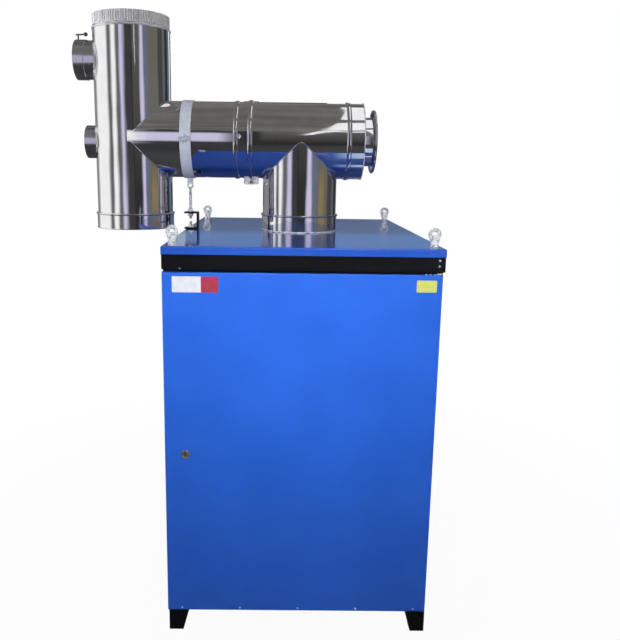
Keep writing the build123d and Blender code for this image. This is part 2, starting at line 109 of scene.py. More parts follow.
def start_tree(owner):
    """An empty node tree for a material or a world."""
    owner.use_nodes = True
    owner.node_tree.nodes.clear()
    return owner.node_tree


def object_place(tree):
    """The place on the object."""
    return add_node(tree, "ShaderNodeTexCoord").outputs["Object"]


def tones(tree, value, stops):
    """Colours along a ramp that a value drives; the stops are (place, hex colour)."""
    node = add_node(tree, "ShaderNodeValToRGB", {"Fac": value})
    ramp = node.color_ramp
    while len(ramp.elements) > 1:
        ramp.elements.remove(ramp.elements[-1])
    for number, (place, code) in enumerate(stops):
        stop = ramp.elements[0] if number == 0 else ramp.elements.new(place)
        stop.position = place
        stop.color = colour(code)
    return node.outputs["Color"]


def stretch(tree, value, span, result=(0.0, 1.0)):
    """A value carried over from one span to another."""
    inputs = {"Value": value, "From Min": span[0], "From Max": span[1], "To Min": result[0], "To Max": result[1]}
    return add_node(tree, "ShaderNodeMapRange", inputs).outputs["Result"]


def noise(tree, place, scale, detail):
    """A cloudy pattern, with its scale in clouds to a metre."""
    return add_node(tree, "ShaderNodeTexNoise", {"Vector": place, "Scale": scale, "Detail": detail}).outputs["Fac"]


def mixed(tree, share, first, second):
    """Two shaders mixed by a share of the second."""
    return add_node(tree, "ShaderNodeMixShader", {0: share, 1: first.outputs[0], 2: second.outputs[0]})


# Most of a noise pattern lies between these two values.
NOISE_SPAN = (0.3, 0.7)
print("white is", colour("#FFFFFF"))

# %% [markdown]
# The studio is white all round. Light Path tells the rays apart: the camera, polished metal and glass see
# white at a strength of 1, while the light that falls on matt surfaces is a weaker, slightly cool fill.
# So the background is white without more light on the boiler.

# %% World
FILL_STRENGTH = 0.05
world = bpy.data.worlds.new("white_studio")
scene.world = world
tree = start_tree(world)
path = add_node(tree, "ShaderNodeLightPath").outputs
seen = add_node(tree, "ShaderNodeMath", {0: path["Is Camera Ray"], 1: path["Is Glossy Ray"]}, operation="MAXIMUM")
seen = add_node(tree, "ShaderNodeMath", {0: seen.outputs[0], 1: path["Is Transmission Ray"]}, operation="MAXIMUM")
fill = add_node(tree, "ShaderNodeBackground", {"Color": colour("#F0F4FF"), "Strength": FILL_STRENGTH})
backdrop = add_node(tree, "ShaderNodeBackground", {"Color": colour("#FFFFFF"), "Strength": 1.0})
both = mixed(tree, seen.outputs[0], fill, backdrop)
add_node(tree, "ShaderNodeOutputWorld", {"Surface": both.outputs[0]})
print("world", world.name)

# %% [markdown]
# One soft box stands in front of the boiler at the height of the lens. It is near the lid, so the light on the
# door falls off towards the floor, and it only grazes the lid. Weaker ones fill the left side and the lid. Three
# more stand low round the sides and the back, under the level of the lid, so that no panel is left in the dark.

# %% Lamps
LOW_SIZE, LOW_WATTS, OPEN = (1.6, 0.7), 42.0, 180
# Place, target and size in metres, power in watts, and spread in degrees.
LAMPS = {
    "key_soft_box": ((0.0, -2.05, 1.62), (0.0, -0.5, 0.98), (1.2, 0.5), 10.3, 80),
    "side_soft_box": ((-2.6, -0.8, 2.0), (-0.4, 0.0, 1.0), (1.2, 1.2), 9.0, OPEN),
    "top_soft_box": ((-0.2, -0.3, 3.1), (0.0, 0.0, 1.17), (1.6, 1.6), 12.0, OPEN),
    "low_left_soft_box": ((-3.0, 0.2, 0.8), (-0.6, 0.04, 0.62), LOW_SIZE, LOW_WATTS, OPEN),
    "low_right_soft_box": ((3.0, 0.2, 0.8), (0.6, 0.04, 0.62), LOW_SIZE, LOW_WATTS, OPEN),
    "low_back_soft_box": ((0.0, 3.0, 0.8), (0.0, 0.6, 0.62), LOW_SIZE, LOW_WATTS, OPEN),
}
for name, (place, target, size, watts, spread) in LAMPS.items():
    lamp = bpy.data.lights.new(name, "AREA")
    lamp.shape = "RECTANGLE"
    lamp.size, lamp.size_y = size
    lamp.energy = watts
    lamp.spread = math.radians(spread)
    holder = bpy.data.objects.new(name, lamp)
    aim = (Vector(target) - Vector(place)).to_track_quat("-Z", "Y").to_matrix().to_4x4()
    holder.matrix_world = Matrix.Translation(place) @ aim
    holder.visible_glossy = False
    holder.visible_camera = False
    scene.collection.objects.link(holder)
print("lamps", list(LAMPS))

# %% [markdown]
# A polished pipe shows nothing but its surroundings. Photographers stand cards, called flags, round chrome so
# that it gets dark and light bands. Here each flag glows by itself. Its colours come from a ramp round the
# room, from two tones that run into each other, or from a fade along an axis.

# %% Colours of the flags
def studio_shader(name, build, hide=None):
    """Material whose emission comes from a builder of its colour; a second builder can hide part of it."""
    material = bpy.data.materials.new(name)
    tree = start_tree(material)
    glow = add_node(tree, "ShaderNodeEmission", {"Color": build(tree), "Strength": 1.0})
    if hide:
        glow = mixed(tree, hide(tree), glow, add_node(tree, "ShaderNodeBsdfTransparent"))
    add_node(tree, "ShaderNodeOutputMaterial", {"Surface": glow.outputs[0]})
    return material


WHITE, LAVENDER, MID, GREY, COOL = "#FFFFFF", "#D2CCEA", "#8A8A90", "#68686C", "#6A7082"
WARM, DIM, DARK, NIGHT = "#6C6A60", "#484648", "#3E3E40", "#2A2D30"
PALE, SLATE = "#A8BCCC", "#68748F"
# Each flag from one angle to the next, in degrees seen from above, from the front, positive to the right.
FLAGS = [
    (-180, -160, SLATE), (-150, -108, MID), (-100, -76, WHITE), (-71, -67, GREY), (-63, -57, WHITE),
    (-51, -43, GREY), (-36, -30, LAVENDER), (-22, -10, DARK), (-6, 16, NIGHT), (24, 30, LAVENDER),
    (37, 46, COOL), (56, 88, WARM), (94, 112, DIM), (119, 123, GREY), (131, 142, NIGHT), (154, 180, SLATE),
]


def flag_colours(tree):
    """Colours round the box: the angle about Z drives a ramp of flags with soft edges."""
    quarter = (0.0, 0.0, math.radians(90))
    swung = add_node(tree, "ShaderNodeMapping", {"Vector": object_place(tree), "Rotation": quarter})
    angle = add_node(tree, "ShaderNodeTexGradient", {"Vector": swung.outputs[0]}, gradient_type="RADIAL")
    return tones(tree, angle.outputs["Fac"], [((edge + 180) / 360, flag[2]) for flag in FLAGS for edge in flag[:2]])


CARD_CLOUDS = 0.8


def cloudy(deep, pale):
    """Builder of two tones that run into each other."""
    def build(tree):
        return tones(tree, noise(tree, object_place(tree), CARD_CLOUDS, 1.0), zip(NOISE_SPAN, (deep, pale)))
    return build


def fading(axis, start, end, *shades):
    """Builder of shades that fade into each other, evenly spread between two places along an axis."""
    def build(tree):
        along = add_node(tree, "ShaderNodeSeparateXYZ", {0: object_place(tree)}).outputs[axis]
        stops = [(number / (len(shades) - 1), shade) for number, shade in enumerate(shades)]
        return tones(tree, stretch(tree, along, (start, end)), stops)
    return build


LOW_ANGLE = 0.5


def from_the_side(tree):
    """Hides a card from behind and at low angles."""
    behind = add_node(tree, "ShaderNodeNewGeometry").outputs["Backfacing"]
    slope = add_node(tree, "ShaderNodeLayerWeight").outputs["Facing"]
    low = add_node(tree, "ShaderNodeMath", {0: slope, 1: LOW_ANGLE}, operation="GREATER_THAN")
    return add_node(tree, "ShaderNodeMath", {0: behind, 1: low.outputs[0]}, operation="MAXIMUM").outputs[0]


HIDDEN, SHOWN = "#FFFFFF", "#000000"
WINDOW_X, WINDOW_Z, LID_X = (-0.558, -0.20), (1.458, 1.496), (0.12, 0.40)
flag_glow = studio_shader("flags", flag_colours)
skirt_glow = studio_shader("dark_skirt", cloudy("#36383A", "#48484A"))
ceiling_glow = studio_shader("grey_ceiling", cloudy("#5E5C5A", "#807E7A"))
window_glow = studio_shader(
    "window", fading("X", *WINDOW_X, WHITE, LAVENDER, LAVENDER, LAVENDER, LAVENDER, DARK),
    fading("Z", *WINDOW_Z, HIDDEN, SHOWN, SHOWN, SHOWN, HIDDEN),
)
front_glow = studio_shader("front_card", fading("Z", 1.2, 2.4, "#30312F", "#64625F"))
tube_glow = studio_shader("light_tube", cloudy("#FFFFFF", "#F8F8FF"))
dark_glow = studio_shader("dark_card", cloudy(NIGHT, DARK))
blue_glow = studio_shader("blue_card", cloudy("#6C8CBE", "#7898C8"))
pale_glow = studio_shader("pale_card", cloudy(PALE, "#BACCDA"))
# The lid cards fade from the lid's blue to a pale blue: painted light for the patch of the lid that the lamps
# brighten.
lid_light_glow = studio_shader("painted_lid_light_card", fading("X", LID_X[0], 0.30, "#2A4F9E", "#A4BADF", "#BDD0EC"), from_the_side)
wood_glow = studio_shader("wood_card", fading("Z", 1.22, 1.40, "#8A7A58", "#807254", WARM))
print("flags round the room:", len(FLAGS))

# %% [markdown]
# The flags make a box round the boiler, nearer on the left, under a warm grey ceiling with three light tubes.
# Smaller cards give one pipe or the lid a band of its own: a window in front of the branch, a row of cards at
# the back that the lid mirrors, two on the lid for the underside of the tee, a brown one low on the right and
# a slanted strip in front. Only reflections see them. The two on the lid are painted light: pale patches where
# the lamps brighten the lid, so that the tee's underside mirrors a lit lid.

# %% Flags round the studio
def cube(low, high):
    """A box between two corners."""
    shape = bmesh.new()
    place = Matrix.Translation((low + high) / 2) @ Matrix.Diagonal(high - low).to_4x4()
    bmesh.ops.create_cube(shape, size=1.0, matrix=place)
    shape.normal_update()
    return shape


def make_object(name, shape, material):
    """An object in the scene, made of a shape, which is used up."""
    mesh = bpy.data.meshes.new(name)
    shape.to_mesh(mesh)
    shape.free()
    mesh.materials.append(material)
    made = bpy.data.objects.new(name, mesh)
    scene.collection.objects.link(made)
    return made


def hang(name, shape, material):
    """Hang up a card that only reflections see."""
    holder = make_object(name, shape, material)
    for ray in ("camera", "diffuse", "shadow", "transmission", "volume_scatter"):
        setattr(holder, "visible_" + ray, False)


UP, DOWN = (0, 0, 1), (0, 0, -1)
ALL_BUT_UP = (DOWN, (1, 0, 0), (-1, 0, 0), (0, 1, 0), (0, -1, 0))
WALL_LOW, WALL_HIGH = 0.95, 2.4
ROOM_LOW, ROOM_HIGH = (-1.25, -2.1), (2.0, 2.0)
# The lower and the upper corner in metres, the colours, and the ways in which the box is open.
CARDS = {
    "flag_walls": ((*ROOM_LOW, WALL_LOW), (*ROOM_HIGH, WALL_HIGH), flag_glow, (UP, DOWN)),
    "flag_skirt": ((*ROOM_LOW, 0.002), (*ROOM_HIGH, WALL_LOW), skirt_glow, (UP,)),
    "flag_ceiling": ((-9, -9, 3.40), (9, 9, 3.41), ceiling_glow, ()),
    "flag_window": ((WINDOW_X[0], -0.1375, WINDOW_Z[0]), (WINDOW_X[1], -0.137, WINDOW_Z[1]), window_glow, ()),
    "flag_front": ((-0.20, -2.09, WALL_LOW), (0.62, -2.08, WALL_HIGH), front_glow, ()),
    "light_tube_0": ((0.30, -7.0, 3.34), (0.80, -3.6, 3.35), tube_glow, ()),
    "light_tube_1": ((0.30, -3.2, 3.34), (0.80, -1.3, 3.35), tube_glow, ()),
    "light_tube_2": ((0.30, -0.9, 3.34), (0.80, 1.0, 3.35), tube_glow, ()),
    "flag_back_low": ((-1.2, 1.94, WALL_LOW), (0.5, 1.95, 1.27), dark_glow, ()),
    "flag_back_pale": ((-0.86, 1.94, 1.375), (-0.66, 1.95, 1.52), pale_glow, ()),
    "flag_back_blue": ((-0.66, 1.94, 1.375), (1.10, 1.95, 1.52), blue_glow, ()),
    "flag_back_high": ((-1.2, 1.94, 1.52), (0.22, 1.95, WALL_HIGH), dark_glow, ()),
    "flag_back_white": ((0.22, 1.94, 1.72), (0.55, 1.95, 2.6), tube_glow, ()),
    # Painted light on the lid: these two cards glow where the lamps brighten it, and only the tee's underside shows
    # them.
    "flag_lid_0": ((LID_X[0], -0.50, 1.1735), (LID_X[1], -0.28, 1.1740), lid_light_glow, ALL_BUT_UP),
    "flag_lid_1": ((LID_X[0], -0.15, 1.1735), (LID_X[1], -0.11, 1.1740), lid_light_glow, ALL_BUT_UP),
    "flag_wood": ((1.96, -1.30, WALL_LOW), (1.97, -0.45, 1.40), wood_glow, ()),
}
for name, (low, high, glow, open_ways) in CARDS.items():
    card = cube(Vector(low), Vector(high))
    gone = [face for face in card.faces if any(face.normal.dot(Vector(way)) > 0.9 for way in open_ways)]
    bmesh.ops.delete(card, geom=gone, context="FACES")
    hang(name, card, glow)
SLANT_Y, SLANT_CORNERS = -2.07, ((0.06, 1.95), (0.12, 1.98), (0.33, 2.62), (0.22, 2.62))
slant = bmesh.new()
bmesh.ops.contextual_create(slant, geom=[slant.verts.new((x, SLANT_Y, z)) for x, z in SLANT_CORNERS])
hang("flag_slant", slant, tube_glow)
print("cards", [*CARDS, "flag_slant"])

# %% [markdown]
# The floor is pale and plain. Part of its white is its own, so that it stays white to the camera, and the
# rest is the light that falls on it, so that the feet keep a soft shadow. Away from the boiler its own white
# takes over, and the floor runs into the white studio with no line.

# %% Floor
NEAR_FAR, OWN_SHARE, FLOOR_HALF = (0.7, 2.0), (0.95, 1.0), 12.0
floor_material = bpy.data.materials.new("pale_floor")
tree = start_tree(floor_material)
path = add_node(tree, "ShaderNodeLightPath").outputs
matt = add_node(tree, "ShaderNodeBsdfDiffuse", {"Color": colour("#CFCFCF")})
white = add_node(tree, "ShaderNodeEmission", {"Color": colour("#FFFFFF"), "Strength": 1.0})
far = add_node(tree, "ShaderNodeVectorMath", {0: object_place(tree)}, operation="LENGTH").outputs["Value"]
share = stretch(tree, far, NEAR_FAR, OWN_SHARE)
own = add_node(tree, "ShaderNodeMath", {0: path["Is Camera Ray"], 1: share}, operation="MULTIPLY")
add_node(tree, "ShaderNodeOutputMaterial", {"Surface": mixed(tree, own.outputs[0], matt, white).outputs[0]})

floor_shape = bmesh.new()
bmesh.ops.create_grid(floor_shape, x_segments=1, y_segments=1, size=FLOOR_HALF)
floor = make_object("floor", floor_shape, floor_material)
print("floor", floor.name)

# %% [markdown]
# Powder coat is a dry paint, sprayed on and baked, so it is even and tough, with a faint orange-peel
# texture. Real peel is 1 to 2 mm across, which is under a pixel here, so it is drawn about 6 mm wide.
# The same builder serves the blue panels, the black frame and the lid, which has a clear lacquer on top.
# The lid's blue is mixed darker than the door's as painted shade, because its front lip gets less light.

# %% Powder coats
CLOUD, PEEL, PEEL_DEPTH, PEEL_STRENGTH = 180 * MM, 6 * MM, 0.15 * MM, 0.25
PAINT_IOR, LACQUER_ROUGHNESS = 1.5, 0.06


def start_material(name):
    """Material with a Principled shader, its node tree and its place on the object."""
    material = bpy.data.materials.new(name)
    material.use_nodes = True
    tree = material.node_tree
    return material, tree, tree.nodes["Principled BSDF"], object_place(tree)


def dress(tree, shader, tint, gloss, height=None, strength=0.0, depth=0.0):
    """Link the colour, the roughness and, where there is one, the relief of a shader."""
    tree.links.new(tint, shader.inputs["Base Color"])
    tree.links.new(gloss, shader.inputs["Roughness"])
    if height:
        bump = add_node(tree, "ShaderNodeBump", {"Height": height, "Strength": strength, "Distance": depth})
        tree.links.new(bump.outputs["Normal"], shader.inputs["Normal"])


def powder_coat(name, deep, pale, gloss, lacquer=0.0):
    """Baked paint: cloudy tint, uneven gloss and orange peel, and a share of clear lacquer on top."""
    material, tree, shader, place = start_material(name)
    tint = tones(tree, noise(tree, place, 1 / CLOUD, 3.0), zip(NOISE_SPAN, (deep, pale)))
    peel = noise(tree, place, 1 / PEEL, 1.0)
    dress(tree, shader, tint, stretch(tree, peel, NOISE_SPAN, gloss), peel, PEEL_STRENGTH, PEEL_DEPTH)
    shader.inputs["IOR"].default_value = PAINT_IOR
    shader.inputs["Coat Weight"].default_value = lacquer
    shader.inputs["Coat Roughness"].default_value = LACQUER_ROUGHNESS
    return material


blue_coat = powder_coat("blue_polyester_powder_coat", "#255AC2", "#2960CC", (0.18, 0.24))
black_coat = powder_coat("black_polyester_powder_coat", "#050608", "#090A0D", (0.34, 0.44))
# Painted shade: the lid's blue is darker than the door's because its front lip gets less light than the top of the
# door.
shaded_lid_coat = powder_coat("blue_polyester_powder_coat_lid_shaded", "#1E49A6", "#224FB0", (0.14, 0.20), lacquer=0.8)
print("coats", blue_coat.name, black_coat.name, shaded_lid_coat.name)

# %% [markdown]
# The flue is stainless steel sheet, polished to a mirror before it was rolled into pipe. Rolling leaves long
# shallow waves along the pipe, so the bands in it waver. The waves are stretched along each pipe's own
# axis. Smudges change the gloss a little.

# %% Polished stainless steel
SMUDGE, WAVE_DEPTH = 45 * MM, 2 * MM
SMUDGE_SPAN, MIRROR_GLOSS = (0.35, 0.75), (0.03, 0.10)


def polished_stainless(name, scale):
    """Mirror-polished sheet with long rolling waves along one axis and faint smudges."""
    material, tree, shader, place = start_material(name)
    shader.inputs["Metallic"].default_value = 1.0
    along = add_node(tree, "ShaderNodeMapping", {"Vector": place, "Scale": scale}).outputs[0]
    smudge = noise(tree, place, 1 / SMUDGE, 4.0)
    tint = tones(tree, smudge, zip(NOISE_SPAN, ("#EAE9E8", "#F2F2F4")))
    gloss = stretch(tree, smudge, SMUDGE_SPAN, MIRROR_GLOSS)
    dress(tree, shader, tint, gloss, noise(tree, along, 1.0, 2.0), 1.0, WAVE_DEPTH)
    return material


ROUND, LONG = 1 / (70 * MM), 1 / (420 * MM)
upright_steel = polished_stainless("polished_stainless_upright", (ROUND, ROUND, LONG))
level_steel = polished_stainless("polished_stainless_level", (LONG, ROUND, ROUND))
print("steel", upright_steel.name, level_steel.name)

# %% [markdown]
# The two spigots and the sleeve were left unpolished. A belt brushed them round and round, so their lines
# run round the pipe and spread each highlight along it. Brush lines are finer than a pixel, so they are
# drawn about 2 mm apart. Bolts, nuts and eyes are steel that was plated with zinc in a bath, which leaves a
# pale, slightly dull skin. The lock's rim is plated with nickel, which is warmer and brighter. Where rollers
# pressed the stainless sheet, it is finely creased. Some small parts are steel, blackened in hot oil. The
# strap is cut from steel strip with a pale coat.

# %% Brushed steel, platings and strip
BRUSH, BRUSH_LENGTH, GRAIN_STRENGTH = 2 * MM, 60 * MM, 0.6


def even_scale(size):
    """The same pattern size, in metres, along each axis."""
    return (1 / size, 1 / size, 1 / size)


def plain_metal(name, deep, pale, gloss, scale, depth, bare=1.0):
    """Metal whose tint, gloss and relief follow one noise pattern; a dull film covers what isn't bare."""
    material, tree, shader, place = start_material(name)
    shader.inputs["Metallic"].default_value = bare
    sized = add_node(tree, "ShaderNodeMapping", {"Vector": place, "Scale": scale}).outputs[0]
    grain = noise(tree, sized, 1.0, 3.0)
    tint = tones(tree, grain, zip(NOISE_SPAN, (deep, pale)))
    dress(tree, shader, tint, stretch(tree, grain, NOISE_SPAN, gloss), grain, GRAIN_STRENGTH, depth)
    return material


def coated(name, deep, pale, gloss, size):
    """Smooth coating with a slight mottle of one size."""
    material, tree, shader, place = start_material(name)
    mottle = noise(tree, place, 1 / size, 3.0)
    tint = tones(tree, mottle, zip(NOISE_SPAN, (deep, pale)))
    dress(tree, shader, tint, stretch(tree, mottle, NOISE_SPAN, gloss))
    return material


brush_scale = (1 / BRUSH, 1 / BRUSH_LENGTH, 1 / BRUSH_LENGTH)
brushed_steel = plain_metal("belt_brushed_stainless", "#CDCDD0", "#E4E4E8", (0.14, 0.22), brush_scale, 0.006 * MM)
zinc = plain_metal("bright_zinc_plate", "#D0D2D6", "#ECEEF0", (0.22, 0.36), even_scale(9 * MM), 0.03 * MM, 0.45)
nickel = plain_metal("bright_nickel_plate", "#D2CEC8", "#ECE8E2", (0.08, 0.14), even_scale(6 * MM), 0.02 * MM, 0.9)
worked_steel = plain_metal(
    "crimped_stainless", "#E4E4E8", "#FAFAFC", (0.12, 0.20), even_scale(4 * MM), 0.05 * MM, 0.6
)
dark_steel = plain_metal("blackened_steel", "#5A5B60", "#72747A", (0.30, 0.42), even_scale(5 * MM), 0.03 * MM, 0.8)
strip_paint = coated("pale_coated_steel_strip", "#B9BED0", "#C8CDDD", (0.36, 0.48), 14 * MM)
print("metals", brushed_steel.name, zinc.name, nickel.name, worked_steel.name, dark_steel.name, strip_paint.name)

# %% [markdown]
# Each CAD node gets the finish of its piece through its material slot. Nodes that are replaced by smoother
# pieces later keep a finish too, in case a piece is taken away again.

# %% Finishes on the CAD nodes
FINISHES = (
    (blue_coat, ("door_panel", "back_panel", "left_side_panel", "right_side_panel")),
    (shaded_lid_coat, ("lid",)),
    (strip_paint, ("strap_upper_half", "strap_lower_half")),
    (zinc, ("support_rod", "rod_nuts", "bracket_bolt", "upper_hinge_plate", "lower_hinge_plate")),
    (dark_steel, ("locking_lever", "lock_core")),
    (nickel, ("lock_housing",)),
    (brushed_steel, ("upper_spigot", "lower_spigot", "spigot_sleeve")),
    (level_steel, ("tee_barrel", "stack_branch", "end_cover", "end_flange", "joint_clamp")),
    (upright_steel, ("stack_barrel", "stack_top_collar", "stack_bottom_cap", "flue_riser", "flue_collar")),
)
finish_of = {name: finish for finish, names in FINISHES for name in names}
for name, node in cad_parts.items():
    finish = finish_of.get(name, zinc if name.endswith("_lifting_eye") else black_coat)
    if not node.material_slots:
        node.data.materials.append(finish)
    for slot in node.material_slots:
        slot.material = finish
print("finished", len(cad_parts), "nodes")

# %% [markdown]
# The CAD pipes are cut into flat facets, which a mirror finish shows at once. So each polished pipe is turned
# again here, with many more columns and smooth shading, as a spinner would turn sheet metal: an outline of
# its wall is spun about the pipe's axis. The sizes come from the CAD boxes.

# %% Turning a pipe
X, Y, Z = Vector((1, 0, 0)), Vector((0, 1, 0)), Vector((0, 0, 1))
COLUMNS = 192
WALL, BEAD, MERGE = 2 * MM, 3.5 * MM, 0.001 * MM
stack_low, stack_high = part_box("stack_barrel")
tee_low, tee_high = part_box("tee_barrel")
PIPE = (stack_high.x - stack_low.x) / 2
STACK_X = (stack_high.x + stack_low.x) / 2
PIPE_Z = (tee_low.z + tee_high.z) / 2


def angles(span, steps):
    """Even steps over a span of angle, with both its ends."""
    return [span * number / steps for number in range(steps + 1)]


def bead(radius, place, size=BEAD, steps=8, spread=1.0):
    """Points of a half-round bead rolled into a wall, as wide as its size times its spread."""
    turns = angles(math.pi, steps)
    return [(radius + size * math.sin(turn), place - spread * size * math.cos(turn)) for turn in turns]


def wire(shape, points, foot, axis, side):
    """Closed outline of (radius, distance along the axis) points."""
    corners = [shape.verts.new(foot + side * radius + axis * along) for radius, along in points]
    return corners + [shape.edges.new(pair) for pair in zip(corners, corners[1:] + corners[:1])]


def square_to(axis):
    """A direction square to an axis, or nearly so."""
    return Y if abs(axis.x) > 0.5 else X


def turned(points, foot, axis, columns=COLUMNS, side=None):
    """A closed outline spun right round an axis."""
    shape = bmesh.new()
    if side is None:
        side = square_to(axis)
    outline = wire(shape, points, foot, axis, side)
    bmesh.ops.spin(
        shape, geom=outline, cent=foot, axis=axis, angle=2 * math.pi, steps=columns, use_merge=True
    )
    bmesh.ops.remove_doubles(shape, verts=shape.verts, dist=MERGE)
    bmesh.ops.recalc_face_normals(shape, faces=shape.faces)
    return shape


def place_piece(name, shape, material, replaced=(), body="cabinet", crease=35):
    """Make an object of a shape, smooth it up to a crease angle, and fix it to its body."""
    piece = make_object(name, shape, material)
    piece.data.shade_smooth()
    piece.data.set_sharp_from_angle(angle=math.radians(crease))
    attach(piece, body)
    if replaced:
        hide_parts(*replaced)
    print(name, len(piece.data.polygons), "faces")


print("pipe radius", round(PIPE / MM, 1), "stack at", round(STACK_X / MM, 1), "axis height", round(PIPE_Z / MM, 1))

# %% [markdown]
# Where two pipes of one size meet square, the edge of the branch lies in two planes at 45 degrees. So two
# bisecting planes trim the branch, and the same two mark out the hole in the pipe that it stands on.

# %% Cutting saddles and holes
def whole(shape, faces=None):
    """Faces, edges and corners of a shape, or of some of its faces, for an operator."""
    if faces is None:
        return shape.faces[:] + shape.edges[:] + shape.verts[:]
    edges = {edge for face in faces for edge in face.edges}
    return list(faces) + list(edges) + list({corner for edge in edges for corner in edge.verts})


def close_rims(shape):
    """Join the cut edges of the outer and inner wall."""
    rims = [edge for edge in shape.edges if edge.is_boundary]
    bmesh.ops.bridge_loops(shape, edges=rims)
    bmesh.ops.recalc_face_normals(shape, faces=shape.faces)


def trim_branch(shape, hub, main, branch):
    """Cut a branch to sit on a main pipe of its own size."""
    for side in (-1, 1):
        normal = (branch + side * main).normalized()
        bmesh.ops.bisect_plane(shape, geom=whole(shape), plane_co=hub, plane_no=normal, clear_inner=True)
    close_rims(shape)


def open_main(shape, hub, main, branch):
    """Cut the hole for such a branch out of the main pipe."""
    for side in (-1, 1):
        near = [face for face in shape.faces if (face.calc_center_median() - hub).dot(branch) > 0]
        normal = (branch + side * main).normalized()
        bmesh.ops.bisect_plane(shape, geom=whole(shape, near), plane_co=hub, plane_no=normal)
    inside = []
    for face in shape.faces:
        offset = face.calc_center_median() - hub
        if offset.dot(branch) > abs(offset.dot(main)):
            inside.append(face)
    bmesh.ops.delete(shape, geom=inside, context="FACES")
    close_rims(shape)


def round_hole(shape, centre, axis, radius, cuts=32):
    """Cut a round hole in one side of a pipe with a fan of planes."""
    def offset(face):
        return face.calc_center_median() - centre

    def near(reach=None):
        """Faces on the cut side, or those of them within reach of the axis."""
        faces = [face for face in shape.faces if offset(face).dot(axis) > 0]
        if reach is None:
            return faces
        return [face for face in faces if (offset(face) - axis * offset(face).dot(axis)).length < reach]

    margin = radius * 1.25
    side = Y
    rise = axis.cross(side)
    for way in (-1, 1):
        edge = centre + rise * margin * way
        bmesh.ops.bisect_plane(shape, geom=whole(shape, near()), plane_co=edge, plane_no=rise)
    for turn in angles(2 * math.pi, cuts)[:-1]:
        normal = math.cos(turn) * side + math.sin(turn) * rise
        edge = centre + normal * radius
        bmesh.ops.bisect_plane(shape, geom=whole(shape, near(margin)), plane_co=edge, plane_no=normal)
    bmesh.ops.delete(shape, geom=near(radius), context="FACES")
    close_rims(shape)


stack_hub = Vector((STACK_X, 0, PIPE_Z))
flue_hub = Vector((0, 0, PIPE_Z))
print("hubs", tuple(stack_hub), tuple(flue_hub))

# %% [markdown]
# The stack's upright pipe has three holes: a large one for the branch from the boiler and two for the
# spigots on its left. The upper and lower spigot sit on the pipe, so their roots follow its curve.

# %% Stack barrel and spigots
LIP, ROOT_SHARE, FLAT_BEAD = 0.6 * MM, 0.8, 2.2
# Each spigot's middle on the stack's axis, its radius, and the distance of its mouth from that axis.
SPIGOTS = {}
for side in ("upper", "lower"):
    low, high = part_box(side + "_spigot")
    SPIGOTS[side] = (Vector((STACK_X, 0, (low.z + high.z) / 2)), (high.z - low.z) / 2, STACK_X - low.x)


def pipe_wall(radius, start, end, beads=()):
    """Outline of a pipe's wall, with flat beads on its outside."""
    outside = [(radius, start)]
    for place in beads:
        outside += bead(radius, place, steps=12, spread=FLAT_BEAD)
    return outside + [(radius, end), (radius - WALL, end), (radius - WALL, start)]


barrel = turned(pipe_wall(PIPE, stack_low.z, stack_high.z), Vector((STACK_X, 0, 0)), Z)
open_main(barrel, stack_hub, Z, X)
for hub, radius, mouth in SPIGOTS.values():
    round_hole(barrel, hub, -X, radius - WALL)
place_piece("stack_pipe", barrel, upright_steel, ["stack_barrel"])

root = ROOT_SHARE * PIPE
for side, (hub, radius, mouth) in SPIGOTS.items():
    bore = radius - WALL
    lip = [(radius, mouth - LIP), (radius - LIP, mouth), (bore + LIP, mouth), (bore, mouth - LIP)]
    side_pipe = turned([(radius, root)] + lip + [(bore, root)], hub, -X)
    for corner in side_pipe.verts:
        if corner.co.x > STACK_X - root - LIP:
            corner.co.x = STACK_X - math.sqrt(PIPE ** 2 - corner.co.y ** 2)
    place_piece(side + "_side_pipe", side_pipe, brushed_steel, [side + "_spigot"])

# %% [markdown]
# The level run is two lengths of pipe: the stack's branch on the left and the boiler's tee on the right. Each
# has a rolled bead near its end, which stiffens it and stops the next pipe. The tee stands on the riser.

# %% Branch, tee and riser
BRANCH_BEAD_INSET, TEE_BEAD_INSET = 46 * MM, 51.5 * MM
riser_low, riser_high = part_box("flue_riser")
JOINT_X, TEE_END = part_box("stack_branch")[1].x, tee_high.x
BRANCH = (riser_high.x - riser_low.x) / 2
branch_bead = JOINT_X - STACK_X - BRANCH_BEAD_INSET
branch = turned(pipe_wall(BRANCH, 0, JOINT_X - STACK_X, [branch_bead]), stack_hub, X)
trim_branch(branch, stack_hub, Z, X)
place_piece("stack_branch_pipe", branch, level_steel, ["stack_branch"])

tee = turned(pipe_wall(PIPE, JOINT_X, TEE_END, [TEE_END - TEE_BEAD_INSET]), flue_hub, X)
open_main(tee, flue_hub, X, -Z)
place_piece("flue_tee_pipe", tee, level_steel, ["tee_barrel"])

riser = turned(pipe_wall(BRANCH, riser_low.z - PIPE_Z, 0), flue_hub, Z)
trim_branch(riser, flue_hub, X, -Z)
place_piece("flue_riser_pipe", riser, upright_steel, ["flue_riser"])

# %% [markdown]
# The riser stands in a collar on the lid, and the stack in a closed cap. Both are sockets with a bead near
# the top and a small rolled foot, which catches the light as a bright line.

# %% Collar and cap
FOOT_BEAD = 1.4 * MM
SOCKET = 3 * MM
collar_low, collar_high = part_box("flue_collar")
cap_low, cap_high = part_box("stack_bottom_cap")


def socket_outside(radius, height):
    """Outside of a socket: a rolled foot, a bead near the top, and the top edge."""
    foot = bead(radius, FOOT_BEAD, FOOT_BEAD, 6)
    return foot + bead(radius, height - BEAD) + [(radius, height)]


collar_height = collar_high.z - collar_low.z
collar = turned(
    socket_outside(BRANCH + SOCKET, collar_height) + [(BRANCH, collar_height), (BRANCH, 0)],
    Vector((0, 0, collar_low.z)), Z,
)
place_piece("flue_socket", collar, upright_steel, ["flue_collar"])

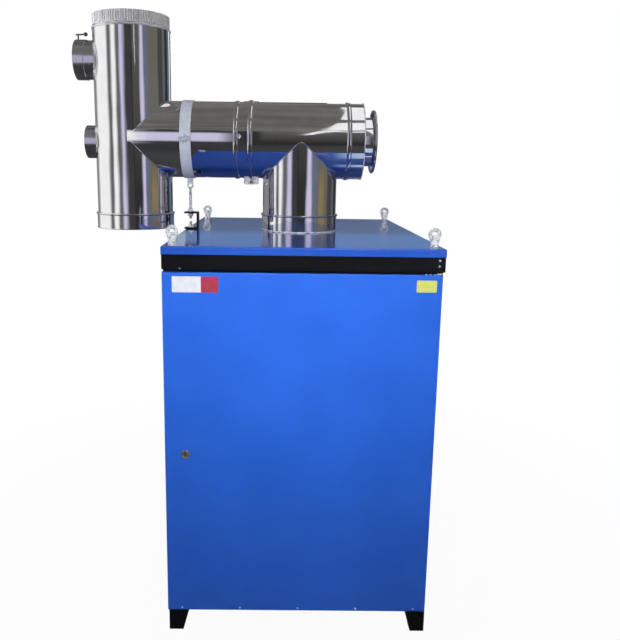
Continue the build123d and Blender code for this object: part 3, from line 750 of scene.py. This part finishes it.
cap_height = cap_high.z - cap_low.z
cap = turned(
    [(0, 0)] + socket_outside(PIPE + SOCKET, cap_height) + [(PIPE, cap_height), (PIPE, WALL), (0, WALL)],
    Vector((STACK_X, 0, cap_low.z)), Z,
)
place_piece("stack_foot_cap", cap, upright_steel, ["stack_bottom_cap"])

# %% [markdown]
# The right end of the tee narrows to a neck, drawn out of its end plate with a small fillet. A flange with a
# rolled rim closes the neck, and the edge of the pipe itself is rolled too.

# %% End of the tee
NECK, NECK_FILLET = 81 * MM, 4 * MM
RIM_ROLL, FLANGE_HALF = 4.5 * MM, 1.5 * MM
END_ROLL, END_SINK = 1.8 * MM, 0.2 * MM
cover_low, cover_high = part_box("end_cover")
flange_low, flange_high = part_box("end_flange")
INNER = PIPE - WALL
neck_end = cover_high.x - TEE_END
plate = cover_low.x - TEE_END
fillet = [
    (NECK + NECK_FILLET * (1 - math.sin(turn)), NECK_FILLET * (1 - math.cos(turn)))
    for turn in angles(math.pi / 2, 5)
]
neck = [(NECK, neck_end), (NECK - WALL, neck_end)]
end = turned(
    [(NECK - WALL, plate), (INNER, plate), (INNER, 0)] + fillet + neck, Vector((TEE_END, 0, PIPE_Z)), X
)
place_piece("tee_end_neck", end, level_steel, ["end_cover"])

rim = (flange_high.z - flange_low.z) / 2 - RIM_ROLL
middle = (flange_low.x + flange_high.x) / 2
roll = [math.radians(20) + turn for turn in angles(math.radians(320), 18)]
rolled = [(rim - RIM_ROLL * math.cos(turn), -RIM_ROLL * math.sin(turn)) for turn in roll]
flange = turned([(0, -FLANGE_HALF)] + rolled + [(0, FLANGE_HALF)], Vector((middle, 0, PIPE_Z)), X)
place_piece("tee_end_flange", flange, level_steel, ["end_flange"])

end_roll = turned(bead(PIPE - END_SINK, TEE_END - END_ROLL, END_ROLL), flue_hub, X)
place_piece("tee_end_roll", end_roll, worked_steel)

# %% [markdown]
# The top of the stack is crimped, so that the next length slips over it: rollers press about a hundred flutes
# into the edge, which takes up metal and makes it narrower. The ring is turned with eight columns to a flute,
# and each column is then pulled in by its place in the flute. No two flutes are quite alike.

# %% Crimped top of the stack
FLUTES, FLUTE_COLUMNS, FLUTE_DEPTH, FLUTE_RUN = 96, 8, 2.4 * MM, 8 * MM
CRIMP, GROOVE, GROOVE_EDGE = PIPE - 1 * MM, 4 * MM, 0.5 * MM
LEVEL_SHARES = (0.10, 0.16, 0.28, 0.5, 0.75, 1.0)
SWAY, SWAY_WAVES, UNEVEN, UNEVEN_WAVES = 0.8, 23, 0.2, 17
crimp_low, crimp_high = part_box("stack_top_collar")
seat = stack_high.z
flute_room = crimp_high.z - seat - 2 * BEAD
levels = [2 * BEAD + flute_room * share for share in LEVEL_SHARES]
groove = [(CRIMP - GROOVE, 2.1 * BEAD), (CRIMP - GROOVE, levels[0] - GROOVE_EDGE)]
outside = bead(CRIMP, BEAD) + groove + [(CRIMP, height) for height in levels]
inside = [(CRIMP - 3 * WALL, height) for height in reversed(levels)]
tail_end = crimp_low.z - seat
tail = [(PIPE - 2 * WALL, 0), (PIPE - 2 * WALL, tail_end), (INNER, tail_end), (INNER, 0)]
crimp = turned(outside + inside + tail, Vector((STACK_X, 0, seat)), Z, FLUTES * FLUTE_COLUMNS)
for corner in crimp.verts:
    height = corner.co.z - seat - levels[0]
    arm = Vector((corner.co.x - STACK_X, corner.co.y, 0))
    if height > -0.1 * MM:
        turn = math.atan2(arm.y, arm.x)
        swing = 0.5 - 0.5 * math.cos(FLUTES * turn + SWAY * math.sin(SWAY_WAVES * turn))
        uneven = 1 - UNEVEN + UNEVEN * math.sin(UNEVEN_WAVES * turn)
        corner.co -= arm.normalized() * FLUTE_DEPTH * swing * uneven * min(1.0, 0.3 + height / FLUTE_RUN)
place_piece("stack_crimped_top", crimp, worked_steel, ["stack_top_collar"], crease=80)

# %% [markdown]
# A band clamps the two lengths together. It is open underneath, where a bolt pulls its two ears to each
# other, so its outline is spun almost right round and its ends are closed with a face each.

# %% Joint clamp
BAND, RIDGE, RIDGE_HALF = 2 * MM, 6 * MM, 8 * MM
EAR_GAP = 8 * MM
clamp_low, clamp_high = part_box("joint_clamp")
clamp_half = (clamp_high.x - clamp_low.x) / 2
band = [(PIPE, -clamp_half), (PIPE + BAND, -clamp_half)]
band += [
    (PIPE + BAND + (RIDGE - BAND) * math.sin(turn), -RIDGE_HALF * math.cos(turn)) for turn in angles(math.pi, 12)
]
band += [(PIPE + BAND, clamp_half), (PIPE, clamp_half)]
half_gap = math.asin(EAR_GAP / 2 / PIPE)
clamp = bmesh.new()
joint = Vector((JOINT_X, 0, PIPE_Z))
start = Matrix.Rotation(half_gap, 3, X) @ -Z
outline = wire(clamp, band, joint, X, start)
first_end = [item for item in outline if isinstance(item, bmesh.types.BMEdge)]
spun = bmesh.ops.spin(
    clamp, geom=outline, cent=joint, axis=X, angle=2 * math.pi - 2 * half_gap, steps=COLUMNS
)
last_end = [item for item in spun["geom_last"] if isinstance(item, bmesh.types.BMEdge)]
for edges in (first_end, last_end):
    bmesh.ops.edgeloop_fill(clamp, edges=edges)
bmesh.ops.recalc_face_normals(clamp, faces=clamp.faces)
place_piece("pipe_joint_clamp", clamp, level_steel, ["joint_clamp"])

# %% [markdown]
# The sleeve on the upper spigot is a plain band, rolled from strip, with its edges turned over. One outline is
# spun, and a small slope at each end stands for the turned edge, because that is all that catches the light.

# %% Spigot sleeve
EDGE = 0.7 * MM
sleeve_low, sleeve_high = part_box("spigot_sleeve")
SLEEVE = (sleeve_high.z - sleeve_low.z) / 2


def broken_ring(bore, radius, length, edge):
    """Outline of a ring with broken outer edges."""
    outside = [(radius - edge, 0), (radius, edge), (radius, length - edge), (radius - edge, length)]
    return [(bore, 0)] + outside + [(bore, length)]


sleeve = turned(
    broken_ring(SPIGOTS["upper"][1], SLEEVE, sleeve_high.x - sleeve_low.x, EDGE),
    Vector((sleeve_low.x, 0, (sleeve_low.z + sleeve_high.z) / 2)), X,
)
place_piece("side_pipe_sleeve", sleeve, brushed_steel, ["spigot_sleeve"])

# %% [markdown]
# Welders ran a thin bead of filler round each saddle. A closed curve follows the edge, and its round bevel is
# the bead. It is turned into a mesh, like the other pieces.

# %% Weld beads on the saddles
WELD, WELD_POINTS = 1.5 * MM, 96


def weld(name, hub, main, branch, side_radius):
    """A thin round bead along the line where a branch of a side radius meets a main pipe."""
    third = main.cross(branch)
    line = bpy.data.curves.new(name, "CURVE")
    line.dimensions = "3D"
    line.bevel_depth = WELD
    line.bevel_resolution = 2
    spline = line.splines.new("POLY")
    spline.points.add(WELD_POINTS - 1)
    for point, turn in zip(spline.points, angles(2 * math.pi, WELD_POINTS)):
        out, along = side_radius * math.sin(turn), side_radius * math.cos(turn)
        rise = math.sqrt(max(0.0, PIPE ** 2 - out ** 2))
        point.co = (*(hub + third * out + main * along + branch * rise), 1.0)
    spline.use_cyclic_u = True
    drawn = bpy.data.objects.new(name + "_line", line)
    shape = bmesh.new()
    shape.from_mesh(drawn.to_mesh())
    drawn.to_mesh_clear()
    bpy.data.objects.remove(drawn)
    place_piece(name, shape, level_steel)


weld("stack_branch_weld", stack_hub, Z, X, BRANCH)
weld("flue_riser_weld", flue_hub, X, -Z, BRANCH)
for side, (hub, radius, mouth) in SPIGOTS.items():
    weld(side + "_side_weld", hub, Z, -X, radius)

# %% [markdown]
# Nuts are sawn from hexagon bar and chamfered on a lathe, so each corner ends in a curve. A ring is turned
# first, and its outer columns are then moved out to the hexagon, with the slope of the chamfer. Screw heads are
# pressed to a low dome, and washers are punched from sheet.

# %% Nuts, screw heads and washers
NUT_COLUMNS, BAR_COLUMNS, DOME_COLUMNS = 48, 32, 24
CHAMFER = math.tan(math.radians(30))


def hexagon_nut(foot, axis, width, height, bore=0.0):
    """A chamfered nut or bolt head, by its width across the flats."""
    flat, swell = width / 2, 1.05 * width / 2
    shape = turned(
        [(bore, 0), (flat, 0), (swell, 0.25 * height), (swell, 0.75 * height), (flat, height), (bore, height)],
        foot, axis, NUT_COLUMNS,
    )
    side = square_to(axis)
    rise = axis.cross(side)
    for corner in shape.verts:
        along = (corner.co - foot).dot(axis)
        arm = corner.co - foot - axis * along
        if arm.length > 1.02 * flat:
            turn = math.atan2(arm.dot(rise), arm.dot(side))
            reach = flat / math.cos((turn + math.pi / 6) % (math.pi / 3) - math.pi / 6)
            slope = (reach - flat) * CHAMFER
            along = slope if along < height / 2 else height - slope
            corner.co = foot + axis * along + arm.normalized() * reach
    return shape


def screw_head(foot, axis, radius, height):
    """A low dome on a surface."""
    dome = [(radius * math.cos(turn), height * math.sin(turn)) for turn in angles(math.pi / 2, 5)]
    return turned([(0, 0)] + dome, foot, axis, DOME_COLUMNS)


def washer(foot, axis, bore, radius, height):
    """A ring of sheet with broken edges."""
    return turned(broken_ring(bore, radius, height, 0.25 * height), foot, axis, NUT_COLUMNS)


def plain_rod(foot, axis, radius, length):
    """A plain round bar."""
    return turned([(0, 0), (radius, 0), (radius, length), (0, length)], foot, axis, BAR_COLUMNS)


def joined(shapes):
    """One shape made of several."""
    bunch = bmesh.new()
    for shape in shapes:
        part = bpy.data.meshes.new("part")
        shape.to_mesh(part)
        shape.free()
        bunch.from_mesh(part)
        bpy.data.meshes.remove(part)
    return bunch


print("hardware ready")

# %% [markdown]
# The lid is a pan folded from one sheet. Its bends are a little rounder than a knife edge, and that is what
# draws a thin line of light along the front. An outer and an inner box are bevelled, joined at the rim, and
# opened for the riser. A narrow inset round each flat face keeps its shading flat.

# %% Lid
BEND, SHEET, FLAT_EDGE = 4.5 * MM, 2 * MM, 1 * MM
lid_low, lid_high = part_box("lid")


def open_box(low, high, bend):
    """A box without its underside, with rounded top edges and corners."""
    shape = cube(low, high)
    bmesh.ops.delete(shape, geom=[face for face in shape.faces if face.normal.z < -0.9], context="FACES")
    bends = [edge for edge in shape.edges if not edge.is_boundary]
    bmesh.ops.bevel(shape, geom=bends, offset=bend, segments=5, profile=0.5, affect="EDGES", material=-1)
    flats = sorted(shape.faces, key=lambda face: face.calc_area())[-5:]
    bmesh.ops.inset_individual(shape, faces=flats, thickness=FLAT_EDGE)
    return shape


inset = Vector((SHEET, SHEET, 0))
inner_box = open_box(lid_low + inset, lid_high - inset - SHEET * Z, BEND - SHEET)
lid = joined([open_box(lid_low, lid_high, BEND), inner_box])
close_rims(lid)
round_hole(lid, Vector((0, 0, lid_low.z)), Z, BRANCH)
place_piece("lid_pan", lid, shaded_lid_coat, ["lid"], crease=50)

# %% [markdown]
# A lifting eye is forged: a thick ring runs down in two shoulders to a round foot, and a threaded shank below
# goes through the lid. The ring is spun, and a convex hull round its lower part and a circle on the foot gives the
# shoulders.

# %% Lifting eyes
EYE_RING, EYE_WIRE, EYE_OUT = 12.6 * MM, 5.4 * MM, 18 * MM
EYE_FOOT, EYE_FOOT_HEIGHT, EYE_NECK = 12 * MM, 4 * MM, 9.5 * MM
EYE_SHANK, EYE_SHANK_LENGTH = 5 * MM, 25 * MM
SHOULDER_START, SHOULDER_SPAN = math.radians(195), math.radians(150)
SHOULDER_WIRE = 0.9 * EYE_WIRE
EYE_TURNS = {"front_left": 30}


def eye_shoulders(centre, axis, foot):
    """The hull from the lower part of a ring to its foot."""
    shape = bmesh.new()
    across = axis.cross(Z)
    for arc in angles(SHOULDER_SPAN, 12):
        out = across * math.cos(SHOULDER_START + arc) + Z * math.sin(SHOULDER_START + arc)
        for turn in angles(2 * math.pi, 12)[:-1]:
            reach = EYE_RING + SHOULDER_WIRE * math.cos(turn)
            shape.verts.new(centre + out * reach + axis * SHOULDER_WIRE * math.sin(turn))
    for turn in angles(2 * math.pi, 24)[:-1]:
        shape.verts.new(foot + EYE_NECK * (X * math.cos(turn) + Y * math.sin(turn)))
    hull = bmesh.ops.convex_hull(shape, input=shape.verts)
    spare = {item for key in ("geom_interior", "geom_unused") for item in hull[key]}
    spare_corners = [item for item in spare if isinstance(item, bmesh.types.BMVert)]
    bmesh.ops.delete(shape, geom=spare_corners, context="VERTS")
    return shape


ring = [
    (EYE_RING + EYE_WIRE * math.cos(turn), EYE_WIRE * math.sin(turn)) for turn in angles(2 * math.pi, 16)[:-1]
]
for corner_name in ("front_left", "front_right", "back_left", "back_right"):
    node = corner_name + "_lifting_eye"
    low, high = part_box(node)
    foot = Vector(((low.x + high.x) / 2, (low.y + high.y) / 2, lid_high.z))
    axis = Matrix.Rotation(math.radians(EYE_TURNS.get(corner_name, 0)), 3, Z) @ Y
    centre = Vector((foot.x, foot.y, high.z - EYE_OUT))
    eye = joined([
        turned(ring, centre, axis, 64, Z),
        eye_shoulders(centre, axis, foot + EYE_FOOT_HEIGHT * Z),
        washer(foot, Z, 0, EYE_FOOT, EYE_FOOT_HEIGHT),
        plain_rod(foot - EYE_SHANK_LENGTH * Z, Z, EYE_SHANK, EYE_SHANK_LENGTH),
    ])
    place_piece(corner_name + "_forged_eye", eye, zinc, [node])

# %% [markdown]
# A threaded rod carries the strap on a bracket. A real thread of this size is 1.5 mm a turn, half a pixel here,
# so it is drawn 3 mm a turn: a small triangle is spun up the rod like a helix. The rod ends in a flat eye with
# soft edges.

# %% Support rod
THREAD_PITCH, THREAD, THREAD_STEPS = 3 * MM, 0.6 * MM, 20
ROD, EYE_HOLE, EYE_HALF, SOFT, EYE_OVERLAP = 5 * MM, 5.5 * MM, 4.5 * MM, 1.2 * MM, 2 * MM
rod_low, rod_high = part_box("support_rod")
SUPPORT_X = (rod_low.x + rod_high.x) / 2
ROD_EYE = (rod_high.x - rod_low.x) / 2


def on_axis(height, y=0.0):
    """A point on the rod's axis, or beside it."""
    return Vector((SUPPORT_X, y, height))


eye_centre = on_axis(rod_high.z - ROD_EYE)
rod_top = eye_centre.z - ROD_EYE + EYE_OVERLAP
thread = bmesh.new()
ridge_points = [(ROD - THREAD, 0), (ROD, THREAD_PITCH / 2), (ROD - THREAD, THREAD_PITCH)]
ridge_line = [thread.verts.new(on_axis(rod_low.z) + X * radius + Z * along) for radius, along in ridge_points]
ridge_edges = [thread.edges.new(pair) for pair in zip(ridge_line, ridge_line[1:])]
thread_turns = int((rod_top - rod_low.z) / THREAD_PITCH) - 1
bmesh.ops.spin(
    thread, geom=ridge_line + ridge_edges, cent=on_axis(rod_low.z), axis=Z, dvec=Z * THREAD_PITCH / THREAD_STEPS,
    angle=2 * math.pi * thread_turns, steps=THREAD_STEPS * thread_turns,
)
bmesh.ops.recalc_face_normals(thread, faces=thread.faces)
eye_edge = [
    (EYE_HOLE, -EYE_HALF + SOFT), (EYE_HOLE + SOFT, -EYE_HALF), (ROD_EYE - SOFT, -EYE_HALF),
    (ROD_EYE, -EYE_HALF + SOFT), (ROD_EYE, EYE_HALF - SOFT), (ROD_EYE - SOFT, EYE_HALF),
    (EYE_HOLE + SOFT, EYE_HALF), (EYE_HOLE, EYE_HALF - SOFT),
]
rod = joined([
    thread,
    plain_rod(on_axis(rod_low.z), Z, ROD - 0.9 * THREAD, rod_top - rod_low.z),
    turned(eye_edge, eye_centre, Y, NUT_COLUMNS),
])
place_piece("strap_rod", rod, zinc, ["support_rod"])

# %% [markdown]
# Two nuts clamp the rod to the bracket, a bolt holds the bracket on the lid, and a bolt on each side closes the
# strap. They are standard plated hardware, so they are put together from the same few nuts, washers and bars.

# %% Nuts and bolts of the strap
NUT, NUT_HEIGHT = 17 * MM, 10 * MM
nuts_low, nuts_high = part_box("rod_nuts")
nuts = joined([
    hexagon_nut(on_axis(nuts_low.z), Z, NUT, NUT_HEIGHT, ROD - THREAD),
    hexagon_nut(on_axis(nuts_high.z - NUT_HEIGHT), Z, NUT, NUT_HEIGHT, ROD - THREAD),
])
place_piece("strap_rod_nuts", nuts, zinc, ["rod_nuts"])

BOLT, BOLT_HEAD, BOLT_HEAD_HEIGHT, BRACKET_SHEET = 4 * MM, 13 * MM, 7 * MM, 5 * MM
END_BOLT, END_NUT, END_NUT_HEIGHT, END_RISE = 4.8 * MM, 16 * MM, 8 * MM, 3 * MM
bolt_low, bolt_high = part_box("bracket_bolt")
bracket_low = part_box("support_bracket")[0]
bolt = joined([
    plain_rod(on_axis(bolt_low.z), Z, END_BOLT, bolt_high.z - bolt_low.z + END_RISE),
    hexagon_nut(on_axis(bolt_low.z), Z, BOLT_HEAD, BOLT_HEAD_HEIGHT),
    hexagon_nut(on_axis(bracket_low.z + BRACKET_SHEET), Z, END_NUT, END_NUT_HEIGHT, BOLT),
])
place_piece("bracket_bolt_and_nut", bolt, zinc, ["bracket_bolt"])

EAR_PLATES, EAR_BOLT_Y, BOLT_TAIL = 4 * MM, 141.5 * MM, 11 * MM
BOLT_WASHER, BOLT_WASHER_HEIGHT, EAR_HEAD_HEIGHT = 8 * MM, 1.6 * MM, 5.5 * MM
ear_bolts = []
for way in (-1, 1):
    over, under = (on_axis(PIPE_Z + side * EAR_PLATES, way * EAR_BOLT_Y) for side in (1, -1))
    ear_bolts += [
        washer(over, Z, BOLT, BOLT_WASHER, BOLT_WASHER_HEIGHT),
        hexagon_nut(over + BOLT_WASHER_HEIGHT * Z, Z, BOLT_HEAD, EAR_HEAD_HEIGHT),
        hexagon_nut(under, -Z, BOLT_HEAD, BOLT_HEAD_HEIGHT, BOLT),
        plain_rod(under - BOLT_TAIL * Z, Z, BOLT, BOLT_TAIL + 2 * EAR_PLATES),
    ]
place_piece("strap_bolts", joined(ear_bolts), zinc)

# %% [markdown]
# The clamp's two ears hang under the joint. A bolt across them, black from its heat treatment, pulls the band
# tight. One plated screw in front holds the branch, and a bright ring seals the collar to the lid.

# %% Clamp ears, joint screw and foot ring
OFF_CENTRE = 1 * MM
EAR_SHEET, EAR_ROUND = 2.5 * MM, 7 * MM


def slab(low, high, bend, rounded):
    """A plate whose edges that pass a test are rounded."""
    low, high = Vector(low), Vector(high)
    shape = cube(low, high)
    middle = (low + high) / 2
    edges = [edge for edge in shape.edges if rounded((edge.verts[0].co + edge.verts[1].co) / 2 - middle)]
    bmesh.ops.bevel(shape, geom=edges, offset=bend, segments=6, profile=0.5, affect="EDGES", material=-1)
    return shape


def low_ends(place):
    """The lower edges across a plate that hangs down."""
    return place.z < -OFF_CENTRE and abs(place.x) > OFF_CENTRE


ear_top, ear_bottom = PIPE_Z - PIPE - BAND / 2, clamp_low.z
ear_face = EAR_GAP / 2 + EAR_SHEET
ears = []
for way in (-1, 1):
    near_y, far_y = sorted((way * EAR_GAP / 2, way * ear_face))
    low, high = (JOINT_X - clamp_half, near_y, ear_bottom), (JOINT_X + clamp_half, far_y, ear_top)
    ears.append(slab(low, high, EAR_ROUND, low_ends))
place_piece("joint_clamp_ears", joined(ears), zinc)

CLAMP_BOLT, CLAMP_NUT, CLAMP_HEAD_HEIGHT, CLAMP_NUT_HEIGHT = 3 * MM, 10 * MM, 4.5 * MM, 5 * MM
CLAMP_BORE, CLAMP_TAIL, CLAMP_BOLT_RISE = 2.9 * MM, 9 * MM, 9 * MM
bolt_place = Vector((JOINT_X, 0, ear_bottom + CLAMP_BOLT_RISE))
clamp_bolt = joined([
    hexagon_nut(bolt_place - ear_face * Y, -Y, CLAMP_NUT, CLAMP_HEAD_HEIGHT),
    hexagon_nut(bolt_place + ear_face * Y, Y, CLAMP_NUT, CLAMP_NUT_HEIGHT, CLAMP_BORE),
    plain_rod(bolt_place - ear_face * Y, Y, CLAMP_BOLT, 2 * ear_face + CLAMP_TAIL),
])
place_piece("joint_clamp_bolt", clamp_bolt, dark_steel)

SCREW_X, SCREW_RISE, SCREW_SINK = -201 * MM, math.radians(3.6), 0.5 * MM
SCREW_WASHER, SCREW_WASHER_HEIGHT, SCREW_HEAD, SCREW_HEAD_HEIGHT = 8 * MM, 1.5 * MM, 9 * MM, 4 * MM
outward = Vector((0, -math.cos(SCREW_RISE), math.sin(SCREW_RISE)))
screw_foot = Vector((SCREW_X, 0, PIPE_Z)) + outward * (BRANCH - SCREW_SINK)
joint_screw = joined([
    washer(screw_foot, outward, 0, SCREW_WASHER, SCREW_WASHER_HEIGHT),
    hexagon_nut(screw_foot + SCREW_WASHER_HEIGHT * outward, outward, SCREW_HEAD, SCREW_HEAD_HEIGHT),
])
place_piece("branch_screw", joint_screw, zinc)

SEAL = 2.2 * MM
seal_ring = turned(bead(BRANCH + SOCKET, SEAL, SEAL), Vector((0, 0, collar_low.z)), Z)
place_piece("flue_foot_ring", seal_ring, zinc)

# %% [markdown]
# The upper hinge is an angle bent from sheet, with a pin under it on which the door turns. Small plated screws
# hold the hinges and the door's lining. Those on the fascia stay with the cabinet, and those in the door turn
# with it. A washer on the hinge pin keeps the door off the bracket. Two thin slabs make the angle, so that its
# fold and its corners can be rounded by themselves.

# %% Upper hinge and screws
HINGE_Y, HINGE_SHEET, HINGE_LEAF, HINGE_PIN = -516 * MM, 2 * MM, 40 * MM, 3 * MM
HINGE_RISE, LEAF_ROUND, FOLD_ROUND = 7.5 * MM, 3 * MM, 1 * MM
hinge_low, hinge_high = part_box("upper_hinge_bracket")
door_low, door_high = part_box("door_panel")
HINGE_X = (hinge_low.x + hinge_high.x) / 2


def top_ends(place):
    """The upper edges across an upright plate."""
    return place.z > OFF_CENTRE and abs(place.x) > OFF_CENTRE


def lower_front(place):
    """The lower front edge of a level plate."""
    return place.z < 0 and place.y < -OFF_CENTRE


fold = door_high.z + HINGE_RISE
corner_low = (hinge_low.x, hinge_low.y, fold - HINGE_SHEET)
leaf_high = (hinge_high.x, hinge_low.y + HINGE_SHEET, fold + HINGE_LEAF)
hinge_angle = joined([
    slab(corner_low, leaf_high, LEAF_ROUND, top_ends),
    slab(corner_low, (hinge_high.x, hinge_high.y, fold), FOLD_ROUND, lower_front),
    plain_rod(Vector((HINGE_X, HINGE_Y, hinge_low.z)), Z, HINGE_PIN, fold - HINGE_SHEET - hinge_low.z),
])
place_piece("upper_hinge_angle", hinge_angle, black_coat, ["upper_hinge_bracket"])

# Radius and height of each kind of head, and the places of the screws along X or Z.
LEAF_SCREW, SPOT_SCREW = (3.2 * MM, 1.4 * MM), (2.2 * MM, 1.2 * MM)
TOP_SCREW, FOOT_SCREW = (3.2 * MM, 1.8 * MM), (3 * MM, 1.2 * MM)
LEAF_SCREW_X, LEAF_SCREWS_Z = HINGE_X - 2.5 * MM, (1141 * MM, 1125.5 * MM)
SPOT_SCREW_X, SPOT_SCREW_Z, FOOT_SCREW_Z = -336 * MM, 1111.5 * MM, 90 * MM
TOP_SCREWS_X = (336 * MM, 348 * MM, 360 * MM)
FOOT_SCREWS_X = (-343 * MM, -171 * MM, 1 * MM, 173 * MM, 345 * MM)
PIN_WASHER, PIN_WASHER_HEIGHT, PIN_WASHER_GAP = 6.5 * MM, 3 * MM, 0.6 * MM
fascia_screws = [screw_head(Vector((LEAF_SCREW_X, hinge_low.y, z)), -Y, *LEAF_SCREW) for z in LEAF_SCREWS_Z]
fascia_screws.append(screw_head(Vector((SPOT_SCREW_X, door_low.y, SPOT_SCREW_Z)), -Y, *SPOT_SCREW))
place_piece("fascia_screws", joined(fascia_screws), zinc)
washer_place = Vector((HINGE_X, HINGE_Y, door_high.z + PIN_WASHER_GAP))
place_piece("hinge_pin_washer", washer(washer_place, Z, HINGE_PIN, PIN_WASHER, PIN_WASHER_HEIGHT), zinc)
top_screws = [screw_head(Vector((x, HINGE_Y, door_high.z)), Z, *TOP_SCREW) for x in TOP_SCREWS_X]
place_piece("door_top_screws", joined(top_screws), zinc, body="door")
foot_screws = [screw_head(Vector((x, door_low.y, FOOT_SCREW_Z)), -Y, *FOOT_SCREW) for x in FOOT_SCREWS_X]
place_piece("door_foot_screws", joined(foot_screws), zinc, body="door")

# %% [markdown]
# The lock has a round nickel-plated rim. It is turned with a domed edge, which catches the light all round,
# and a sunk middle, in which the dark core sits. The core itself is the CAD node, because it turns.

# %% Lock rim
LOCK_BODY, LOCK_BORE, LOCK_DOME, LOCK_FLOOR = 9 * MM, 5.2 * MM, 2.4 * MM, 1.2 * MM
rim_low, rim_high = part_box("lock_housing")
lock_place = Vector(((rim_low.x + rim_high.x) / 2, door_low.y, (rim_low.z + rim_high.z) / 2))
lock_radius, lock_rise = (rim_high.x - rim_low.x) / 2, door_low.y - rim_low.y
lock_depth = rim_high.y - door_low.y
dome = [
    (lock_radius - LOCK_DOME + LOCK_DOME * math.cos(turn), lock_rise - LOCK_DOME + LOCK_DOME * math.sin(turn))
    for turn in angles(math.pi, 12)
]
barrel_outline = [(LOCK_BORE, -lock_depth), (LOCK_BODY, -lock_depth), (LOCK_BODY, 0), (lock_radius, 0)]
lock_rim = turned(barrel_outline + dome + [(LOCK_BORE, LOCK_FLOOR)], lock_place, -Y, 96)
place_piece("lock_rim", lock_rim, nickel, ["lock_housing"], "door")

# %% [markdown]
# Two blank plates stick to the door: a white one with a plain red end and a yellow one. They are vinyl film on
# foil, cut with round corners, so a thin slab with four bevelled corner edges is enough for each.

# %% Blank plates
FILM, FILM_ROUND, FILM_SINK = 0.6 * MM, 2.5 * MM, 0.2 * MM
FILM_GLOSS, FILM_MOTTLE = (0.28, 0.40), 18 * MM
white_vinyl = coated("white_vinyl_film", "#C2C4CC", "#CCCED6", FILM_GLOSS, FILM_MOTTLE)
red_vinyl = coated("red_vinyl_film", "#96283E", "#A23048", FILM_GLOSS, FILM_MOTTLE)
yellow_vinyl = coated("yellow_vinyl_film", "#B6BC58", "#C2C666", FILM_GLOSS, FILM_MOTTLE)


def upright_edges(place):
    """The four corner edges of a plate, seen from the front."""
    return abs(place.x) > OFF_CENTRE and abs(place.z) > OFF_CENTRE


# The plate's span across and upright in millimetres, its film and its layer on the door.
PLATES = {
    "white_plate": ((-358, -232), (1046, 1090), white_vinyl, 1),
    "red_plate_end": ((-279, -232), (1046, 1090), red_vinyl, 1.5),
    "yellow_plate": ((310, 365), (1053, 1086), yellow_vinyl, 1),
}
for name, (across, upright, vinyl, layer) in PLATES.items():
    front = door_low.y - layer * FILM
    low = (across[0] * MM, front, upright[0] * MM)
    high = (across[1] * MM, front + FILM + FILM_SINK, upright[1] * MM)
    place_piece(name, slab(low, high, FILM_ROUND, upright_edges), vinyl, body="door")
